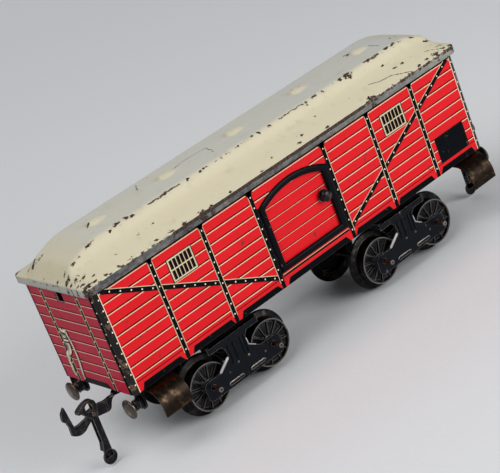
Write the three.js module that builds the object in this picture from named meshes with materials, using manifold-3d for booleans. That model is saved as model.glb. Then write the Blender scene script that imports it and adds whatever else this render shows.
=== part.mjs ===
// Tinplate gauge 0 covered goods wagon: a folded sheet body with sliding doors, a pressed
// roof, two stamped bogies with spoked wheels, sprung buffers, corner steps and an
// automatic claw coupling at each end.
// Millimetres, +Z up. X runs along the wagon, -Y is the side with the door knob to the right.
// The origin is on the rail plane, below the middle of the body.
import * as THREE from 'three';
import { mergeVertices } from 'three/addons/utils/BufferGeometryUtils.js';
import Module from 'manifold-3d';

const wasm = await Module();
wasm.setup();

// ---------------------------------------------------------------- clearances
const SEAT = 0.3;            // between pieces that rest on or are riveted to each other
const RUNNING = 0.3;         // round a pin, axle or stem that turns or slides
const SINK = 0.2;            // how far a raised form is set into the sheet that carries it

// ---------------------------------------------------------------- body
const BODY_LENGTH = 218;
const BODY_WIDTH = 54;
const BODY_CORNER = 3;       // outer bend radius of the upright edges
const FLOOR_HEIGHT = 34.6;   // lower edge of the body above the rails
const WALL = 0.7;            // tinplate of the body and doors
const LIP = 1.2;             // flange turned inward along the lower edge
const FLOOR_SHEET = 0.7;
const END_SLOT_WIDTH = 5.5;
const END_SLOT_DROP = 9.6;   // depth of the slot below the top of the end wall

// ---------------------------------------------------------------- roof
const ROOF_SHEET = 0.8;
const ROOF_SKIRT = 0.7;
const ROOF_FIT = 0.5;        // between the body walls and the skirt
const ROOF_END_OVERHANG = 1.2;
const RIM_ABOVE_FLOOR = 48.1; // lower edge of the skirt above the body's lower edge
const RIM_HEIGHT = 3.7;
const RIM_CORNER = 3.2;
const ROOF_RISE = 11.3;
// inset from the rim and share of the rise, across the wagon and along it
const SIDE_PROFILE = [[0, 0], [3.2, 0.168], [8.2, 0.4], [11.2, 0.584], [13, 0.805], [14.1, 0.935],
  [15.4, 0.972], [28.2, 1]];
const END_PROFILE = [[0, 0], [2.4, 0.3], [4.9, 0.57], [6.9, 0.67], [11, 0.8], [14, 0.9], [18, 0.97],
  [22, 1]];
const VENT_COUNT = 5;
const VENT_PITCH = 39.8;
const VENT_LENGTH = 11;
const VENT_WIDTH = 7.4;
const VENT_RISE = 1.4;
const VENT_TAPER = 0.45;     // share of the width lost at the drawn-out end

// ---------------------------------------------------------------- door and its opening
const OPENING_WIDTH = 34.8;
const OPENING_SILL = 9.5;    // above the body's lower edge
const OPENING_SPRING = 26.7; // from the sill up to where the arch starts
const OPENING_RISE = 4.2;    // of the segmental arch
const MOULDING_WIDTH = 3.2;
const MOULDING_RAISE = 1;
const DOOR_OVERLAP = 2.1;    // of the door past the opening, at each side
const DOOR_LOW = 2.3;        // door below the sill
const DOOR_HIGH = 1.8;       // door above the crown of the arch
const DOOR_CORNER = 2;
const DOOR_TRAVEL = 28;
const GUIDE_SHEET = 0.6;
const GUIDE_LIP = 2.5;
const KNOB_INSET = 3.4;      // from the edge of the opening
const KNOB_HEIGHT = 16.4;    // above the sill
const KNOB_DISH_RADIUS = 3;
const KNOB_HEAD_RADIUS = 2.6;
const KNOB_SHANK_RADIUS = 0.9;
const KNOB_REACH = 4.6;      // from the door to the top of the knob
const KNOB_DISH_DEPTH = 0.9;
const KNOB_SHEET = 0.5;
const KNOB_HEAD_THICK = 1.5;
const KNOB_BURR_RADIUS = 1.6; // end of the shank, spread behind the door
const KNOB_BURR = 0.6;

// ---------------------------------------------------------------- bogies
const BOGIE_INSET = 55.5;    // pivot, in from the body's end
const WHEELBASE = 35.8;
const FRAME_TOP = 31;        // top of the frame above the rails
const FRAME_SHEET = 0.8;
const FRAME_WIDTH = 47.2;    // over the side plates
const FRAME_BAR_HALF = 14.4; // half length of the top bar
const FRAME_BAR_DEPTH = 3.4;
const COLUMN_TOP_HALF = 7.5;
const COLUMN_HALF = 5.6;
const FRAME_LUG_HALF = 22.2; // half length over the axle lugs
const LUG_INNER = 11.4;
const SHOULDER_RISE = 3.6;   // of the column's sloping shoulder above the lugs
const COLUMN_NECK = 2;       // straight part of the column above its shoulder
const LUG_ABOVE_AXLE = 3.6;
const LUG_BELOW_AXLE = 5.5;
const LUG_CORNER = 2.4;
const FOLD_DEPTH = 2;
const RIB_RADIUS = 0.55;
const RIB_PLACES = [-4, -1.2, 3, 5];
const BAR_EMBOSS_LENGTH = 7.6;
const BAR_EMBOSS_PLACES = [-5.9, 6.9];
const BAR_EMBOSS_HEIGHT = 2; // above the lower edge
const STUD_RADIUS = 2;
const STUD_HEAD = 4;
const STUD_HEAD_THICK = 1.2;
const BOSS_RADIUS = 7.5;     // flat foot of the floor's pivot boss
const BOSS_FLARE = 2;
const BOSS_FACETS = 10;

// ---------------------------------------------------------------- wheels
const FLANGE_RADIUS = 14.15;
const TREAD_RADIUS = 10.8;
const WHEEL_FACE = 21.2;     // outer face from the wagon's centre line
const WHEEL_BACK = 14.2;
const FLANGE_THICK = 1.5;
const RIM_THICK = 1;
const WEB_FRONT = 1.5;       // web behind the outer face
const WEB_THICK = 1.3;
const HUB_RADIUS = 3.5;
const SPOKE_COUNT = 12;
const SPOKE_LOW = 0.4;       // crest of a spoke below the wheel's face
const SPOKE_WIDTH = 1;       // at the foot of its ridge
const AXLE_RADIUS = 1;
const AXLE_HALF = 28.9;
const FACETS = 20;           // flats round a wheel
const TURNED_FACETS = 8;    // flats round a small turned piece
const PIN_FACETS = 8;        // flats round a pin or axle

// ---------------------------------------------------------------- buffers
const BUFFER_SPREAD = 22;    // from the centre line
const BUFFER_DROP = 6.2;     // below the body's lower edge
const LUG_INSET = 4;         // outer face of the lug that carries the buffer, in from the body's end
const BUFFER_LUG_SHEET = 0.8;
const BUFFER_LUG_WIDTH = 7.4;
const BUFFER_LUG_ROUND = 3.7;
const SLEEVE_RADIUS = 2.1;
const SLEEVE_COLLAR = 2.4;
const SLEEVE_FLANGE = 2.9;
const SLEEVE_RING = 0.8;     // thickness of its foot flange and of its collar
const SLEEVE_BASE = 0.6;
const STEM_RADIUS = 1.3;
const TAIL_RADIUS = 0.8;
const TAIL_HEAD = 1.5;
const TAIL_HEAD_THICK = 0.8;
const BUFFER_PROUD = 3.4;    // crown of the head beyond the body's end
const BUFFER_HEAD_RADIUS = 4.5;
const BUFFER_HEAD_DOME = 1.3;
const BUFFER_HEAD_RIM = 0.6;
const BUFFER_TRAVEL = 1.8;
const HEAD_FACETS = 12;

// ---------------------------------------------------------------- steps
const STEP_INSET = 5.5;      // outer edge, in from the body's end
const STEP_WIDTH = 14.5;
const STEP_SHEET = 0.7;
const STEP_REACH = 9;
const STEP_CURVE_DROP = 8.5;
const STEP_DROP = 12;
const STEP_TAB = 7;

// ---------------------------------------------------------------- coupling
const COUPLING_INSET = 14.5; // pivot, in from the body's end
const STRIP_WIDTH = 5.5;
const STRIP_THICK = 1.2;
const STRIP_HEIGHT = 28;     // middle of the flat part above the rails
const STRIP_FLAT = 7.5;      // from the pivot to where the twist starts
const STRIP_TWIST = 7.5;     // length of the twist
const STRIP_TWIST_DROP = 3.2;
// hook's edges from the end of the twist, on the strip's middle line: the shank's back and the
// throat, the barbed nose, and the belly
const HOOK_BACK = [[3.5, 3.4], [7.5, 3.2], [9.7, 2.1], [11.3, 1], [13.1, 0.7], [16, 0.4], [17.7, 0.8]];
const HOOK_NOSE = [[18.5, 11.2], [20.9, 9], [21.5, 6.7], [21.4, 5.4], [20.3, 4.3], [19.8, 1.8],
  [20, -0.2], [20.1, -2.3], [18.9, -3.2]];
const HOOK_BELLY = [[16.7, -4.2], [13.8, -4], [11.1, -2.5], [8.2, -1.3], [4.5, -1.95]];
const HOOK_ROOT = 0.7;       // straight start of the shank
const COUPLING_PIN_RADIUS = 1.5;
const COUPLING_PIN_HEAD = 2.7;
const COUPLING_SHOULDER = 2.6;
const PIN_HEAD_THICK = 1;
const LEVER_REACH = 22.5;    // lever's pin from the coupling's pivot
const LEVER_Z = 26;
const LEVER_PIN_RADIUS = 0.7;
const LEVER_PIN_HEAD = 1.2;
const LEVER_PIN_HEAD_THICK = 0.5;
const LEVER_SHEET = 0.6;
const LEVER_GAP = 1.8;       // between the two cheeks
// the claw's edges from the lever's pin: its crown, the under side of its beak, and its eye
const CLAW_CROWN = [[-2.5, 5], [-0.9, 6.2], [1.6, 6.3], [4.3, 5.5], [6.5, 4.3]];
const CLAW_UNDER = [[6.7, 3.1], [5, 2.7], [4.2, 1.3]];
const CLAW_EYE = [[-0.5, 1.8], [2.3, 1.8], [2.8, 3.4], [2.6, 4.7], [1.1, 5.5], [-0.2, 4.8], [-0.6, 3.4]];
const CLAW_MIDDLE = [1.5, 2.2];
const SLOT_ABOVE_PIN = 2.9;  // height to which the slot clears the hook's shank
const CLAW_SHOULDER = [-2.9, 2.6];
const CLAW_BACK = -2.2;      // the claw's top starts here, so that it can tip back over the shank
const CHEEK_DROP = 2.3;      // where the cheeks have narrowed to the legs
const LEG_HALF = 1.4;
const LEG_LEAN = 0.4;
const LEG_FOOT = 4;          // outer edge of the long leg, beside the weight
const BRIDGE_DROP = 14;      // top of the bridge that joins the legs, below the lever's pin
const BRIDGE_DEPTH = 3.7;
const BOB_RADIUS = 3.4;
const BOB_OFFSET = 0.95;
const BOB_DROP = 21.5;       // centre of the round weight below the lever's pin

// ---------------------------------------------------------------- derived places
const AXLE_HEIGHT = FLANGE_RADIUS * Math.cos(Math.PI / FACETS);
const HALF_LENGTH = BODY_LENGTH / 2;
const HALF_WIDTH = BODY_WIDTH / 2;
const BOGIE_PIVOT = HALF_LENGTH - BOGIE_INSET;
const LUG_X = HALF_LENGTH - LUG_INSET;
const STEP_OUTER = HALF_LENGTH - STEP_INSET;
const STEP_INNER = STEP_OUTER - STEP_WIDTH;
const COUPLING_PIVOT = HALF_LENGTH - COUPLING_INSET;
const STRIP_FLAT_END = COUPLING_PIVOT + STRIP_FLAT;
const STRIP_TWIST_END = STRIP_FLAT_END + STRIP_TWIST;
const LEVER_X = COUPLING_PIVOT + LEVER_REACH;
const RIM_BOTTOM = FLOOR_HEIGHT + RIM_ABOVE_FLOOR;
const RIM_TOP = RIM_BOTTOM + RIM_HEIGHT;
const RIM_HALF_WIDTH = HALF_WIDTH + ROOF_FIT + ROOF_SKIRT;
const RIM_HALF_LENGTH = HALF_LENGTH + ROOF_FIT + ROOF_SKIRT + ROOF_END_OVERHANG;
const WALL_TOP = RIM_TOP - ROOF_SHEET - SEAT;
const FLOOR_BOTTOM = FLOOR_HEIGHT + WALL + SEAT;
const FLOOR_TOP = FLOOR_BOTTOM + FLOOR_SHEET;
const SILL = FLOOR_HEIGHT + OPENING_SILL;
const DOOR_FACE = HALF_WIDTH - WALL - SEAT;   // outer face of the door from the centre line
const DOOR_BOTTOM = SILL - DOOR_LOW;
const DOOR_TOP = SILL + OPENING_SPRING + OPENING_RISE + DOOR_HIGH;
const DOOR_HALF = OPENING_WIDTH / 2 + DOOR_OVERLAP;
const KNOB_OFFSET = OPENING_WIDTH / 2 - KNOB_INSET;   // from the middle of the door
const FRAME_HALF = FRAME_WIDTH / 2;
const BOSS_FOOT = FRAME_TOP + SEAT;
const BUFFER_HEIGHT = FLOOR_HEIGHT - BUFFER_DROP;
const BUFFER_CROWN = LUG_INSET + BUFFER_PROUD;   // of the head from the lug
const HEAD_BACK = BUFFER_CROWN - BUFFER_HEAD_DOME - BUFFER_HEAD_RIM;
const SLEEVE_END = HEAD_BACK - BUFFER_TRAVEL - RUNNING;
const SHANK_HEIGHT = STRIP_HEIGHT - STRIP_TWIST_DROP;

// ---------------------------------------------------------------- finishes
const finish = (color, roughness, metalness) =>
  new THREE.MeshStandardMaterial({ color, roughness, metalness });
const RED = () => finish(0xd92029, 0.35, 0.1);
const CREAM = () => finish(0xcfc8ac, 0.5, 0.05);
const BLACK = () => finish(0x1b1f25, 0.45, 0.2);
const BROWNED = () => finish(0x53443a, 0.4, 0.8);
const NICKEL = () => finish(0x9a938a, 0.35, 0.9);
const RUSTY = () => finish(0x6b4a3a, 0.6, 0.7);
const DARK_ZINC = () => finish(0x34343a, 0.5, 0.6);

// ---------------------------------------------------------------- solids
function solidOf(geometry) {
  const bare = geometry.clone();
  bare.deleteAttribute('normal');
  bare.deleteAttribute('uv');
  const merged = mergeVertices(bare, 1e-4);
  return new wasm.Manifold(new wasm.Mesh({
    numProp: 3,
    vertProperties: new Float32Array(merged.attributes.position.array),
    triVerts: new Uint32Array(merged.index.array),
  }));
}

function geometryOf(solid) {
  const mesh = solid.getMesh();
  const geometry = new THREE.BufferGeometry();
  geometry.setAttribute('position', new THREE.BufferAttribute(new Float32Array(mesh.vertProperties), 3));
  geometry.setIndex(new THREE.BufferAttribute(new Uint32Array(mesh.triVerts), 1));
  geometry.computeVertexNormals();
  return geometry;
}

// Straight interpolation in a list of [place, value] pairs.
function profileAt(profile, place) {
  if (place <= profile[0][0]) {
    return profile[0][1];
  }
  for (let i = 1; i < profile.length; i += 1) {
    const [x0, v0] = profile[i - 1];
    const [x1, v1] = profile[i];
    if (place <= x1) {
      return v0 + (v1 - v0) * (place - x0) / (x1 - x0);
    }
  }
  return profile[profile.length - 1][1];
}

function roundedRectangle(halfX, halfY, radius, path = new THREE.Shape()) {
  path.moveTo(-halfX + radius, -halfY);
  path.lineTo(halfX - radius, -halfY);
  path.absarc(halfX - radius, -halfY + radius, radius, -Math.PI / 2, 0, false);
  path.lineTo(halfX, halfY - radius);
  path.absarc(halfX - radius, halfY - radius, radius, 0, Math.PI / 2, false);
  path.lineTo(-halfX + radius, halfY);
  path.absarc(-halfX + radius, halfY - radius, radius, Math.PI / 2, Math.PI, false);
  path.lineTo(-halfX, -halfY + radius);
  path.absarc(-halfX + radius, -halfY + radius, radius, Math.PI, 1.5 * Math.PI, false);
  return path;
}

function circle(x, y, radius, path = new THREE.Path()) {
  path.absarc(x, y, radius, 0, 2 * Math.PI, true);
  return path;
}

function extruded(shape, depth, curveSegments) {
  return new THREE.ExtrudeGeometry(shape, { depth, bevelEnabled: false, curveSegments });
}

// Plate with its outline in X and Y, from height z0 to z1.
function flatPlate(shape, z0, z1, curveSegments = 4) {
  const geometry = extruded(shape, z1 - z0, curveSegments);
  geometry.translate(0, 0, z0);
  return geometry;
}

// Plate with its outline in X and Z, from y0 to y1.
function uprightPlate(shape, y0, y1, curveSegments = 4) {
  const geometry = extruded(shape, y1 - y0, curveSegments);
  geometry.rotateX(Math.PI / 2);
  geometry.translate(0, y1, 0);
  return geometry;
}

// Plate with its outline in Y and Z, from x0 to x1.
function crossPlate(shape, x0, x1, curveSegments = 4) {
  const geometry = extruded(shape, x1 - x0, curveSegments);
  geometry.rotateX(Math.PI / 2);
  geometry.rotateZ(Math.PI / 2);
  geometry.translate(x0, 0, 0);
  return geometry;
}

function box(x0, x1, y0, y1, z0, z1) {
  const geometry = new THREE.BoxGeometry(x1 - x0, y1 - y0, z1 - z0);
  geometry.translate((x0 + x1) / 2, (y0 + y1) / 2, (z0 + z1) / 2);
  return geometry;
}

// Turned piece: [radius, place] pairs revolved about the Y axis, closed on itself or on the axis.
function turned(profile, segments) {
  const points = profile.map(([radius, place]) => new THREE.Vector2(radius, place));
  if (profile[0][0] > 0) {
    points.push(points[0].clone());
  }
  return new THREE.LatheGeometry(points, segments);
}

// The same piece standing on the Z axis.
function turnedUpright(profile, segments) {
  const geometry = turned(profile, segments);
  geometry.rotateX(Math.PI / 2);
  return geometry;
}

// ---------------------------------------------------------------- body
function doorOutline(grow, path = new THREE.Shape()) {
  const half = OPENING_WIDTH / 2;
  const arch = (half * half + OPENING_RISE * OPENING_RISE) / (2 * OPENING_RISE);
  const centre = SILL + OPENING_SPRING + OPENING_RISE - arch;
  const radius = arch + grow;
  const side = half + grow;
  const spring = centre + Math.sqrt(radius * radius - side * side);
  const angle = Math.acos(side / radius);
  path.moveTo(-side, SILL - grow);
  path.lineTo(side, SILL - grow);
  path.lineTo(side, spring);
  path.absarc(0, centre, radius, angle, Math.PI - angle, false);
  path.lineTo(-side, SILL - grow);
  return path;
}

// Rounded moulding pressed out of the wall round the doorway, on the -Y side.
function doorMoulding() {
  const shape = doorOutline(MOULDING_WIDTH);
  const round = (MOULDING_RAISE + WALL - 0.1) / 2;
  const geometry = new THREE.ExtrudeGeometry(shape, {
    depth: 0.1,
    bevelEnabled: true,
    bevelThickness: round,
    bevelSize: round,
    bevelOffset: -round,
    bevelSegments: 1,
    curveSegments: 6,
  });
  geometry.rotateX(Math.PI / 2);
  geometry.translate(0, -HALF_WIDTH - MOULDING_RAISE + 0.1 + round, 0);
  return geometry;
}

function bodyShell() {
  const outline = roundedRectangle(HALF_LENGTH, HALF_WIDTH, BODY_CORNER);
  outline.holes.push(roundedRectangle(
    HALF_LENGTH - WALL, HALF_WIDTH - WALL, BODY_CORNER - WALL, new THREE.Path()));
  let shell = solidOf(flatPlate(outline, FLOOR_HEIGHT, WALL_TOP));

  const lip = roundedRectangle(HALF_LENGTH - WALL / 2, HALF_WIDTH - WALL / 2, BODY_CORNER - WALL / 2);
  const inner = WALL + LIP;
  lip.holes.push(roundedRectangle(
    HALF_LENGTH - inner, HALF_WIDTH - inner, BODY_CORNER - WALL, new THREE.Path()));
  shell = shell.add(solidOf(flatPlate(lip, FLOOR_HEIGHT, FLOOR_HEIGHT + WALL)));

  const moulding = doorMoulding();
  const farMoulding = moulding.clone();
  farMoulding.rotateZ(Math.PI);
  shell = shell.add(solidOf(moulding)).add(solidOf(farMoulding));
  shell = shell.subtract(solidOf(uprightPlate(doorOutline(0), -HALF_WIDTH - 5, HALF_WIDTH + 5, 6)));

  // the lip is notched where the buffers' lugs pass it
  const reach = BUFFER_LUG_WIDTH / 2 + SEAT;
  for (const end of [-1, 1]) {
    for (const side of [-1, 1]) {
      const y0 = BUFFER_SPREAD - reach;
      const y1 = Math.min(BUFFER_SPREAD + reach, HALF_WIDTH - WALL);
      const notch = box(LUG_X - BUFFER_LUG_SHEET - SEAT, LUG_X + SEAT, y0, y1,
        FLOOR_HEIGHT - SEAT, FLOOR_HEIGHT + WALL + SEAT);
      notch.translate(end > 0 ? 0 : BUFFER_LUG_SHEET - 2 * LUG_X, side > 0 ? 0 : -y0 - y1, 0);
      shell = shell.subtract(solidOf(notch));
    }
  }

  const slot = box(-HALF_LENGTH - 5, HALF_LENGTH + 5, -END_SLOT_WIDTH / 2, END_SLOT_WIDTH / 2,
    WALL_TOP - END_SLOT_DROP, WALL_TOP + 5);
  return geometryOf(shell.subtract(solidOf(slot)));
}

function floorPan() {
  const halfX = HALF_LENGTH - WALL - SEAT;
  const halfY = HALF_WIDTH - WALL - SEAT;
  const plate = roundedRectangle(halfX, halfY, BODY_CORNER - WALL);
  for (const side of [-1, 1]) {
    plate.holes.push(circle(side * COUPLING_PIVOT, 0, COUPLING_PIN_RADIUS + SEAT));
  }
  let pan = solidOf(flatPlate(plate, FLOOR_BOTTOM, FLOOR_TOP, 4));

  // pivot boss pressed down from the plate
  const hole = STUD_RADIUS + SEAT;
  const boss = turnedUpright([
    [hole, BOSS_FOOT], [BOSS_RADIUS, BOSS_FOOT], [BOSS_RADIUS + BOSS_FLARE, FLOOR_BOTTOM],
    [BOSS_RADIUS + BOSS_FLARE, FLOOR_TOP], [BOSS_RADIUS + FLOOR_SHEET / 2, FLOOR_TOP],
    [BOSS_RADIUS - FLOOR_SHEET, BOSS_FOOT + FLOOR_SHEET], [hole, BOSS_FOOT + FLOOR_SHEET],
  ], BOSS_FACETS);
  for (const side of [-1, 1]) {
    const placed = boss.clone();
    placed.translate(side * BOGIE_PIVOT, 0, 0);
    const well = turnedUpright([
      [0, BOSS_FOOT + FLOOR_SHEET], [BOSS_RADIUS - FLOOR_SHEET, BOSS_FOOT + FLOOR_SHEET],
      [BOSS_RADIUS + FLOOR_SHEET / 2, FLOOR_TOP + SINK], [0, FLOOR_TOP + SINK],
    ], BOSS_FACETS);
    well.translate(side * BOGIE_PIVOT, 0, 0);
    pan = pan.subtract(solidOf(well)).add(solidOf(placed));
  }

  // lugs bent down to carry the buffers
  for (const end of [-1, 1]) {
    for (const side of [-1, 1]) {
      const lug = new THREE.Shape();
      const half = BUFFER_LUG_WIDTH / 2;
      lug.moveTo(side * BUFFER_SPREAD + half, FLOOR_TOP - SINK);
      lug.lineTo(side * BUFFER_SPREAD - half, FLOOR_TOP - SINK);
      lug.lineTo(side * BUFFER_SPREAD - half, BUFFER_HEIGHT);
      lug.absarc(side * BUFFER_SPREAD, BUFFER_HEIGHT, BUFFER_LUG_ROUND, Math.PI, 2 * Math.PI, false);
      lug.lineTo(side * BUFFER_SPREAD + half, FLOOR_TOP - SINK);
      lug.holes.push(circle(side * BUFFER_SPREAD, BUFFER_HEIGHT, TAIL_RADIUS + RUNNING));
      const near = end > 0 ? LUG_X - BUFFER_LUG_SHEET : -LUG_X;
      pan = pan.add(solidOf(crossPlate(lug, near, near + BUFFER_LUG_SHEET, 4)));
    }
  }
  return geometryOf(pan);
}

// ---------------------------------------------------------------- roof
// The cross section keeps its shape and sinks towards the ends.
function roofRise(x, y) {
  const side = profileAt(SIDE_PROFILE, RIM_HALF_WIDTH - Math.abs(y));
  return ROOF_RISE * side * profileAt(END_PROFILE, RIM_HALF_LENGTH - Math.abs(x));
}

function mirroredStations(insets, half) {
  const outer = insets.filter((inset) => inset < half).map((inset) => half - inset);
  return [...outer.map((place) => -place), 0, ...outer.reverse()];
}

// Block under the roof surface, drawn in by inset and lowered by drop.
function roofBlock(inset, drop, bottom) {
  const halfX = RIM_HALF_LENGTH - inset;
  const halfY = RIM_HALF_WIDTH - inset;
  const xs = mirroredStations(END_PROFILE.map(([place]) => Math.max(0, place - inset)), halfX);
  const ys = mirroredStations(SIDE_PROFILE.slice(0, -1).map(([place]) => Math.max(0, place - inset)), halfY);
  const nx = xs.length - 1;
  const ny = ys.length - 1;
  const geometry = new THREE.BoxGeometry(nx, ny, 1, nx, ny, 1);
  const position = geometry.attributes.position;
  for (let i = 0; i < position.count; i += 1) {
    const x = xs[Math.round(position.getX(i) + nx / 2)];
    const y = ys[Math.round(position.getY(i) + ny / 2)];
    const z = position.getZ(i) > 0 ? RIM_TOP + roofRise(x, y) - drop : bottom;
    position.setXYZ(i, x, y, z);
  }
  const corner = roundedRectangle(halfX, halfY, RIM_CORNER - inset);
  const prism = solidOf(flatPlate(corner, bottom, RIM_TOP + ROOF_RISE + 5, 4));
  return solidOf(geometry).intersect(prism);
}

// Embossed ventilator, blunt at one end and drawn out at the other.
function ventilator(x) {
  const steps = 3;
  const profile = [[0, -ROOF_SHEET / 2], [1, -ROOF_SHEET / 2]];
  for (let i = 0; i < steps; i += 1) {
    const turn = (i / steps) * Math.PI / 2;
    profile.push([Math.cos(turn), VENT_RISE * Math.sin(turn)]);
  }
  profile.push([0, VENT_RISE]);
  const geometry = turnedUpright(profile, TURNED_FACETS);
  const position = geometry.attributes.position;
  for (let i = 0; i < position.count; i += 1) {
    const along = position.getX(i);
    const taper = along > 0 ? 1 - VENT_TAPER * along * along : 1;
    position.setX(i, along * VENT_LENGTH / 2);
    position.setY(i, position.getY(i) * taper * VENT_WIDTH / 2);
  }
  geometry.translate(x, 0, RIM_TOP + ROOF_RISE);
  return geometry;
}

function roof() {
  let shell = roofBlock(0, 0, RIM_BOTTOM).subtract(roofBlock(ROOF_SKIRT, ROOF_SHEET, RIM_BOTTOM - 1));
  for (let i = 0; i < VENT_COUNT; i += 1) {
    shell = shell.add(solidOf(ventilator((i - (VENT_COUNT - 1) / 2) * VENT_PITCH)));
  }
  return geometryOf(shell);
}

// ---------------------------------------------------------------- doors
// Door behind the -Y wall, drawn about the middle of the wagon.
function door() {
  const shape = new THREE.Shape();
  shape.moveTo(-DOOR_HALF, DOOR_BOTTOM);
  shape.lineTo(DOOR_HALF, DOOR_BOTTOM);
  shape.lineTo(DOOR_HALF, DOOR_TOP - DOOR_CORNER);
  shape.absarc(DOOR_HALF - DOOR_CORNER, DOOR_TOP - DOOR_CORNER, DOOR_CORNER, 0, Math.PI / 2, false);
  shape.lineTo(-DOOR_HALF + DOOR_CORNER, DOOR_TOP);
  shape.absarc(-DOOR_HALF + DOOR_CORNER, DOOR_TOP - DOOR_CORNER, DOOR_CORNER, Math.PI / 2, Math.PI, false);
  shape.lineTo(-DOOR_HALF, DOOR_BOTTOM);
  shape.holes.push(circle(KNOB_OFFSET, SILL + KNOB_HEIGHT, KNOB_SHANK_RADIUS + SEAT));
  return uprightPlate(shape, -DOOR_FACE, -DOOR_FACE + WALL, 4);
}

function doorKnob() {
  const dish = KNOB_DISH_RADIUS;
  const head = KNOB_HEAD_RADIUS;
  const inside = -WALL - SEAT;
  const geometry = turned([
    [0, inside - KNOB_BURR], [KNOB_BURR_RADIUS, inside - KNOB_BURR], [KNOB_BURR_RADIUS, inside],
    [KNOB_SHANK_RADIUS, inside], [KNOB_SHANK_RADIUS, SEAT], [dish - KNOB_SHEET, SEAT],
    [dish, SEAT + KNOB_DISH_DEPTH], [dish - 2 * KNOB_SHEET, SEAT + KNOB_SHEET],
    [KNOB_SHANK_RADIUS, SEAT + KNOB_SHEET], [KNOB_SHANK_RADIUS, KNOB_REACH - 1.6 * KNOB_HEAD_THICK],
    [head, KNOB_REACH - KNOB_HEAD_THICK], [head * 0.8, KNOB_REACH - 0.27 * KNOB_HEAD_THICK],
    [0, KNOB_REACH],
  ], TURNED_FACETS);
  geometry.rotateZ(Math.PI);
  geometry.translate(KNOB_OFFSET, -DOOR_FACE, SILL + KNOB_HEIGHT);
  return geometry;
}

// Angle strips inside the -Y wall: the lower one carries the door, the upper one keeps it in.
function doorGuide(upper) {
  const away = upper ? 1 : -1;
  const edge = upper ? DOOR_TOP : DOOR_BOTTOM;
  const wallSide = HALF_WIDTH - WALL - SEAT;
  const lipOuter = DOOR_FACE - WALL - RUNNING;
  const lipInner = lipOuter - GUIDE_SHEET;
  const near = edge + away * RUNNING;
  const far = near + away * GUIDE_SHEET;
  const tip = edge - away * GUIDE_LIP;
  const shape = new THREE.Shape();
  shape.moveTo(-wallSide, near);
  shape.lineTo(-wallSide, far);
  shape.lineTo(-lipInner, far);
  shape.lineTo(-lipInner, tip);
  shape.lineTo(-lipOuter, tip);
  shape.lineTo(-lipOuter, near);
  shape.lineTo(-wallSide, near);
  return crossPlate(shape, -DOOR_HALF - DOOR_TRAVEL - 1, DOOR_HALF + 1);
}

// ---------------------------------------------------------------- bogies
// One side of the stamped frame in X and Z, about the pivot.
function frameSide() {
  const barBottom = FRAME_TOP - FRAME_BAR_DEPTH;
  const lugTop = AXLE_HEIGHT + LUG_ABOVE_AXLE;
  const lugBottom = AXLE_HEIGHT - LUG_BELOW_AXLE;
  const waist = lugTop + SHOULDER_RISE;
  const shape = new THREE.Shape();
  shape.moveTo(-FRAME_BAR_HALF, FRAME_TOP);
  shape.lineTo(-FRAME_BAR_HALF, barBottom);
  shape.lineTo(-COLUMN_TOP_HALF, barBottom);
  shape.lineTo(-COLUMN_HALF, waist + COLUMN_NECK);
  shape.lineTo(-COLUMN_HALF, waist);
  shape.lineTo(-LUG_INNER, lugTop);
  shape.lineTo(-FRAME_LUG_HALF + LUG_CORNER, lugTop);
  shape.absarc(-FRAME_LUG_HALF + LUG_CORNER, lugTop - LUG_CORNER, LUG_CORNER, Math.PI / 2, Math.PI, false);
  shape.lineTo(-FRAME_LUG_HALF, lugBottom + LUG_CORNER);
  shape.absarc(
    -FRAME_LUG_HALF + LUG_CORNER, lugBottom + LUG_CORNER, LUG_CORNER, Math.PI, 1.5 * Math.PI, false);
  shape.lineTo(FRAME_LUG_HALF - LUG_CORNER, lugBottom);
  shape.absarc(FRAME_LUG_HALF - LUG_CORNER, lugBottom + LUG_CORNER, LUG_CORNER, -Math.PI / 2, 0, false);
  shape.lineTo(FRAME_LUG_HALF, lugTop - LUG_CORNER);
  shape.absarc(FRAME_LUG_HALF - LUG_CORNER, lugTop - LUG_CORNER, LUG_CORNER, 0, Math.PI / 2, false);
  shape.lineTo(LUG_INNER, lugTop);
  shape.lineTo(COLUMN_HALF, waist);
  shape.lineTo(COLUMN_HALF, waist + COLUMN_NECK);
  shape.lineTo(COLUMN_TOP_HALF, barBottom);
  shape.lineTo(FRAME_BAR_HALF, barBottom);
  shape.lineTo(FRAME_BAR_HALF, FRAME_TOP);
  for (const end of [-1, 1]) {
    shape.holes.push(circle(end * WHEELBASE / 2, AXLE_HEIGHT, AXLE_RADIUS + RUNNING));
  }
  return uprightPlate(shape, -FRAME_HALF, -FRAME_HALF + FRAME_SHEET, 4);
}

// Edge folded in behind the sloping side of the column.
function frameFold(end) {
  const lugTop = AXLE_HEIGHT + LUG_ABOVE_AXLE;
  const rise = SHOULDER_RISE;
  const run = LUG_INNER - COLUMN_HALF;
  const length = Math.hypot(run, rise);
  const nx = rise / length;
  const nz = run / length;
  const shape = new THREE.Shape();
  shape.moveTo(end * COLUMN_HALF, lugTop + rise);
  shape.lineTo(end * LUG_INNER, lugTop);
  shape.lineTo(end * (LUG_INNER - FRAME_SHEET * nx), lugTop - FRAME_SHEET * nz);
  shape.lineTo(end * (COLUMN_HALF - FRAME_SHEET * nx), lugTop + rise - FRAME_SHEET * nz);
  shape.lineTo(end * COLUMN_HALF, lugTop + rise);
  return uprightPlate(shape, -FRAME_HALF + FRAME_SHEET - SINK, -FRAME_HALF + FOLD_DEPTH);
}

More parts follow.
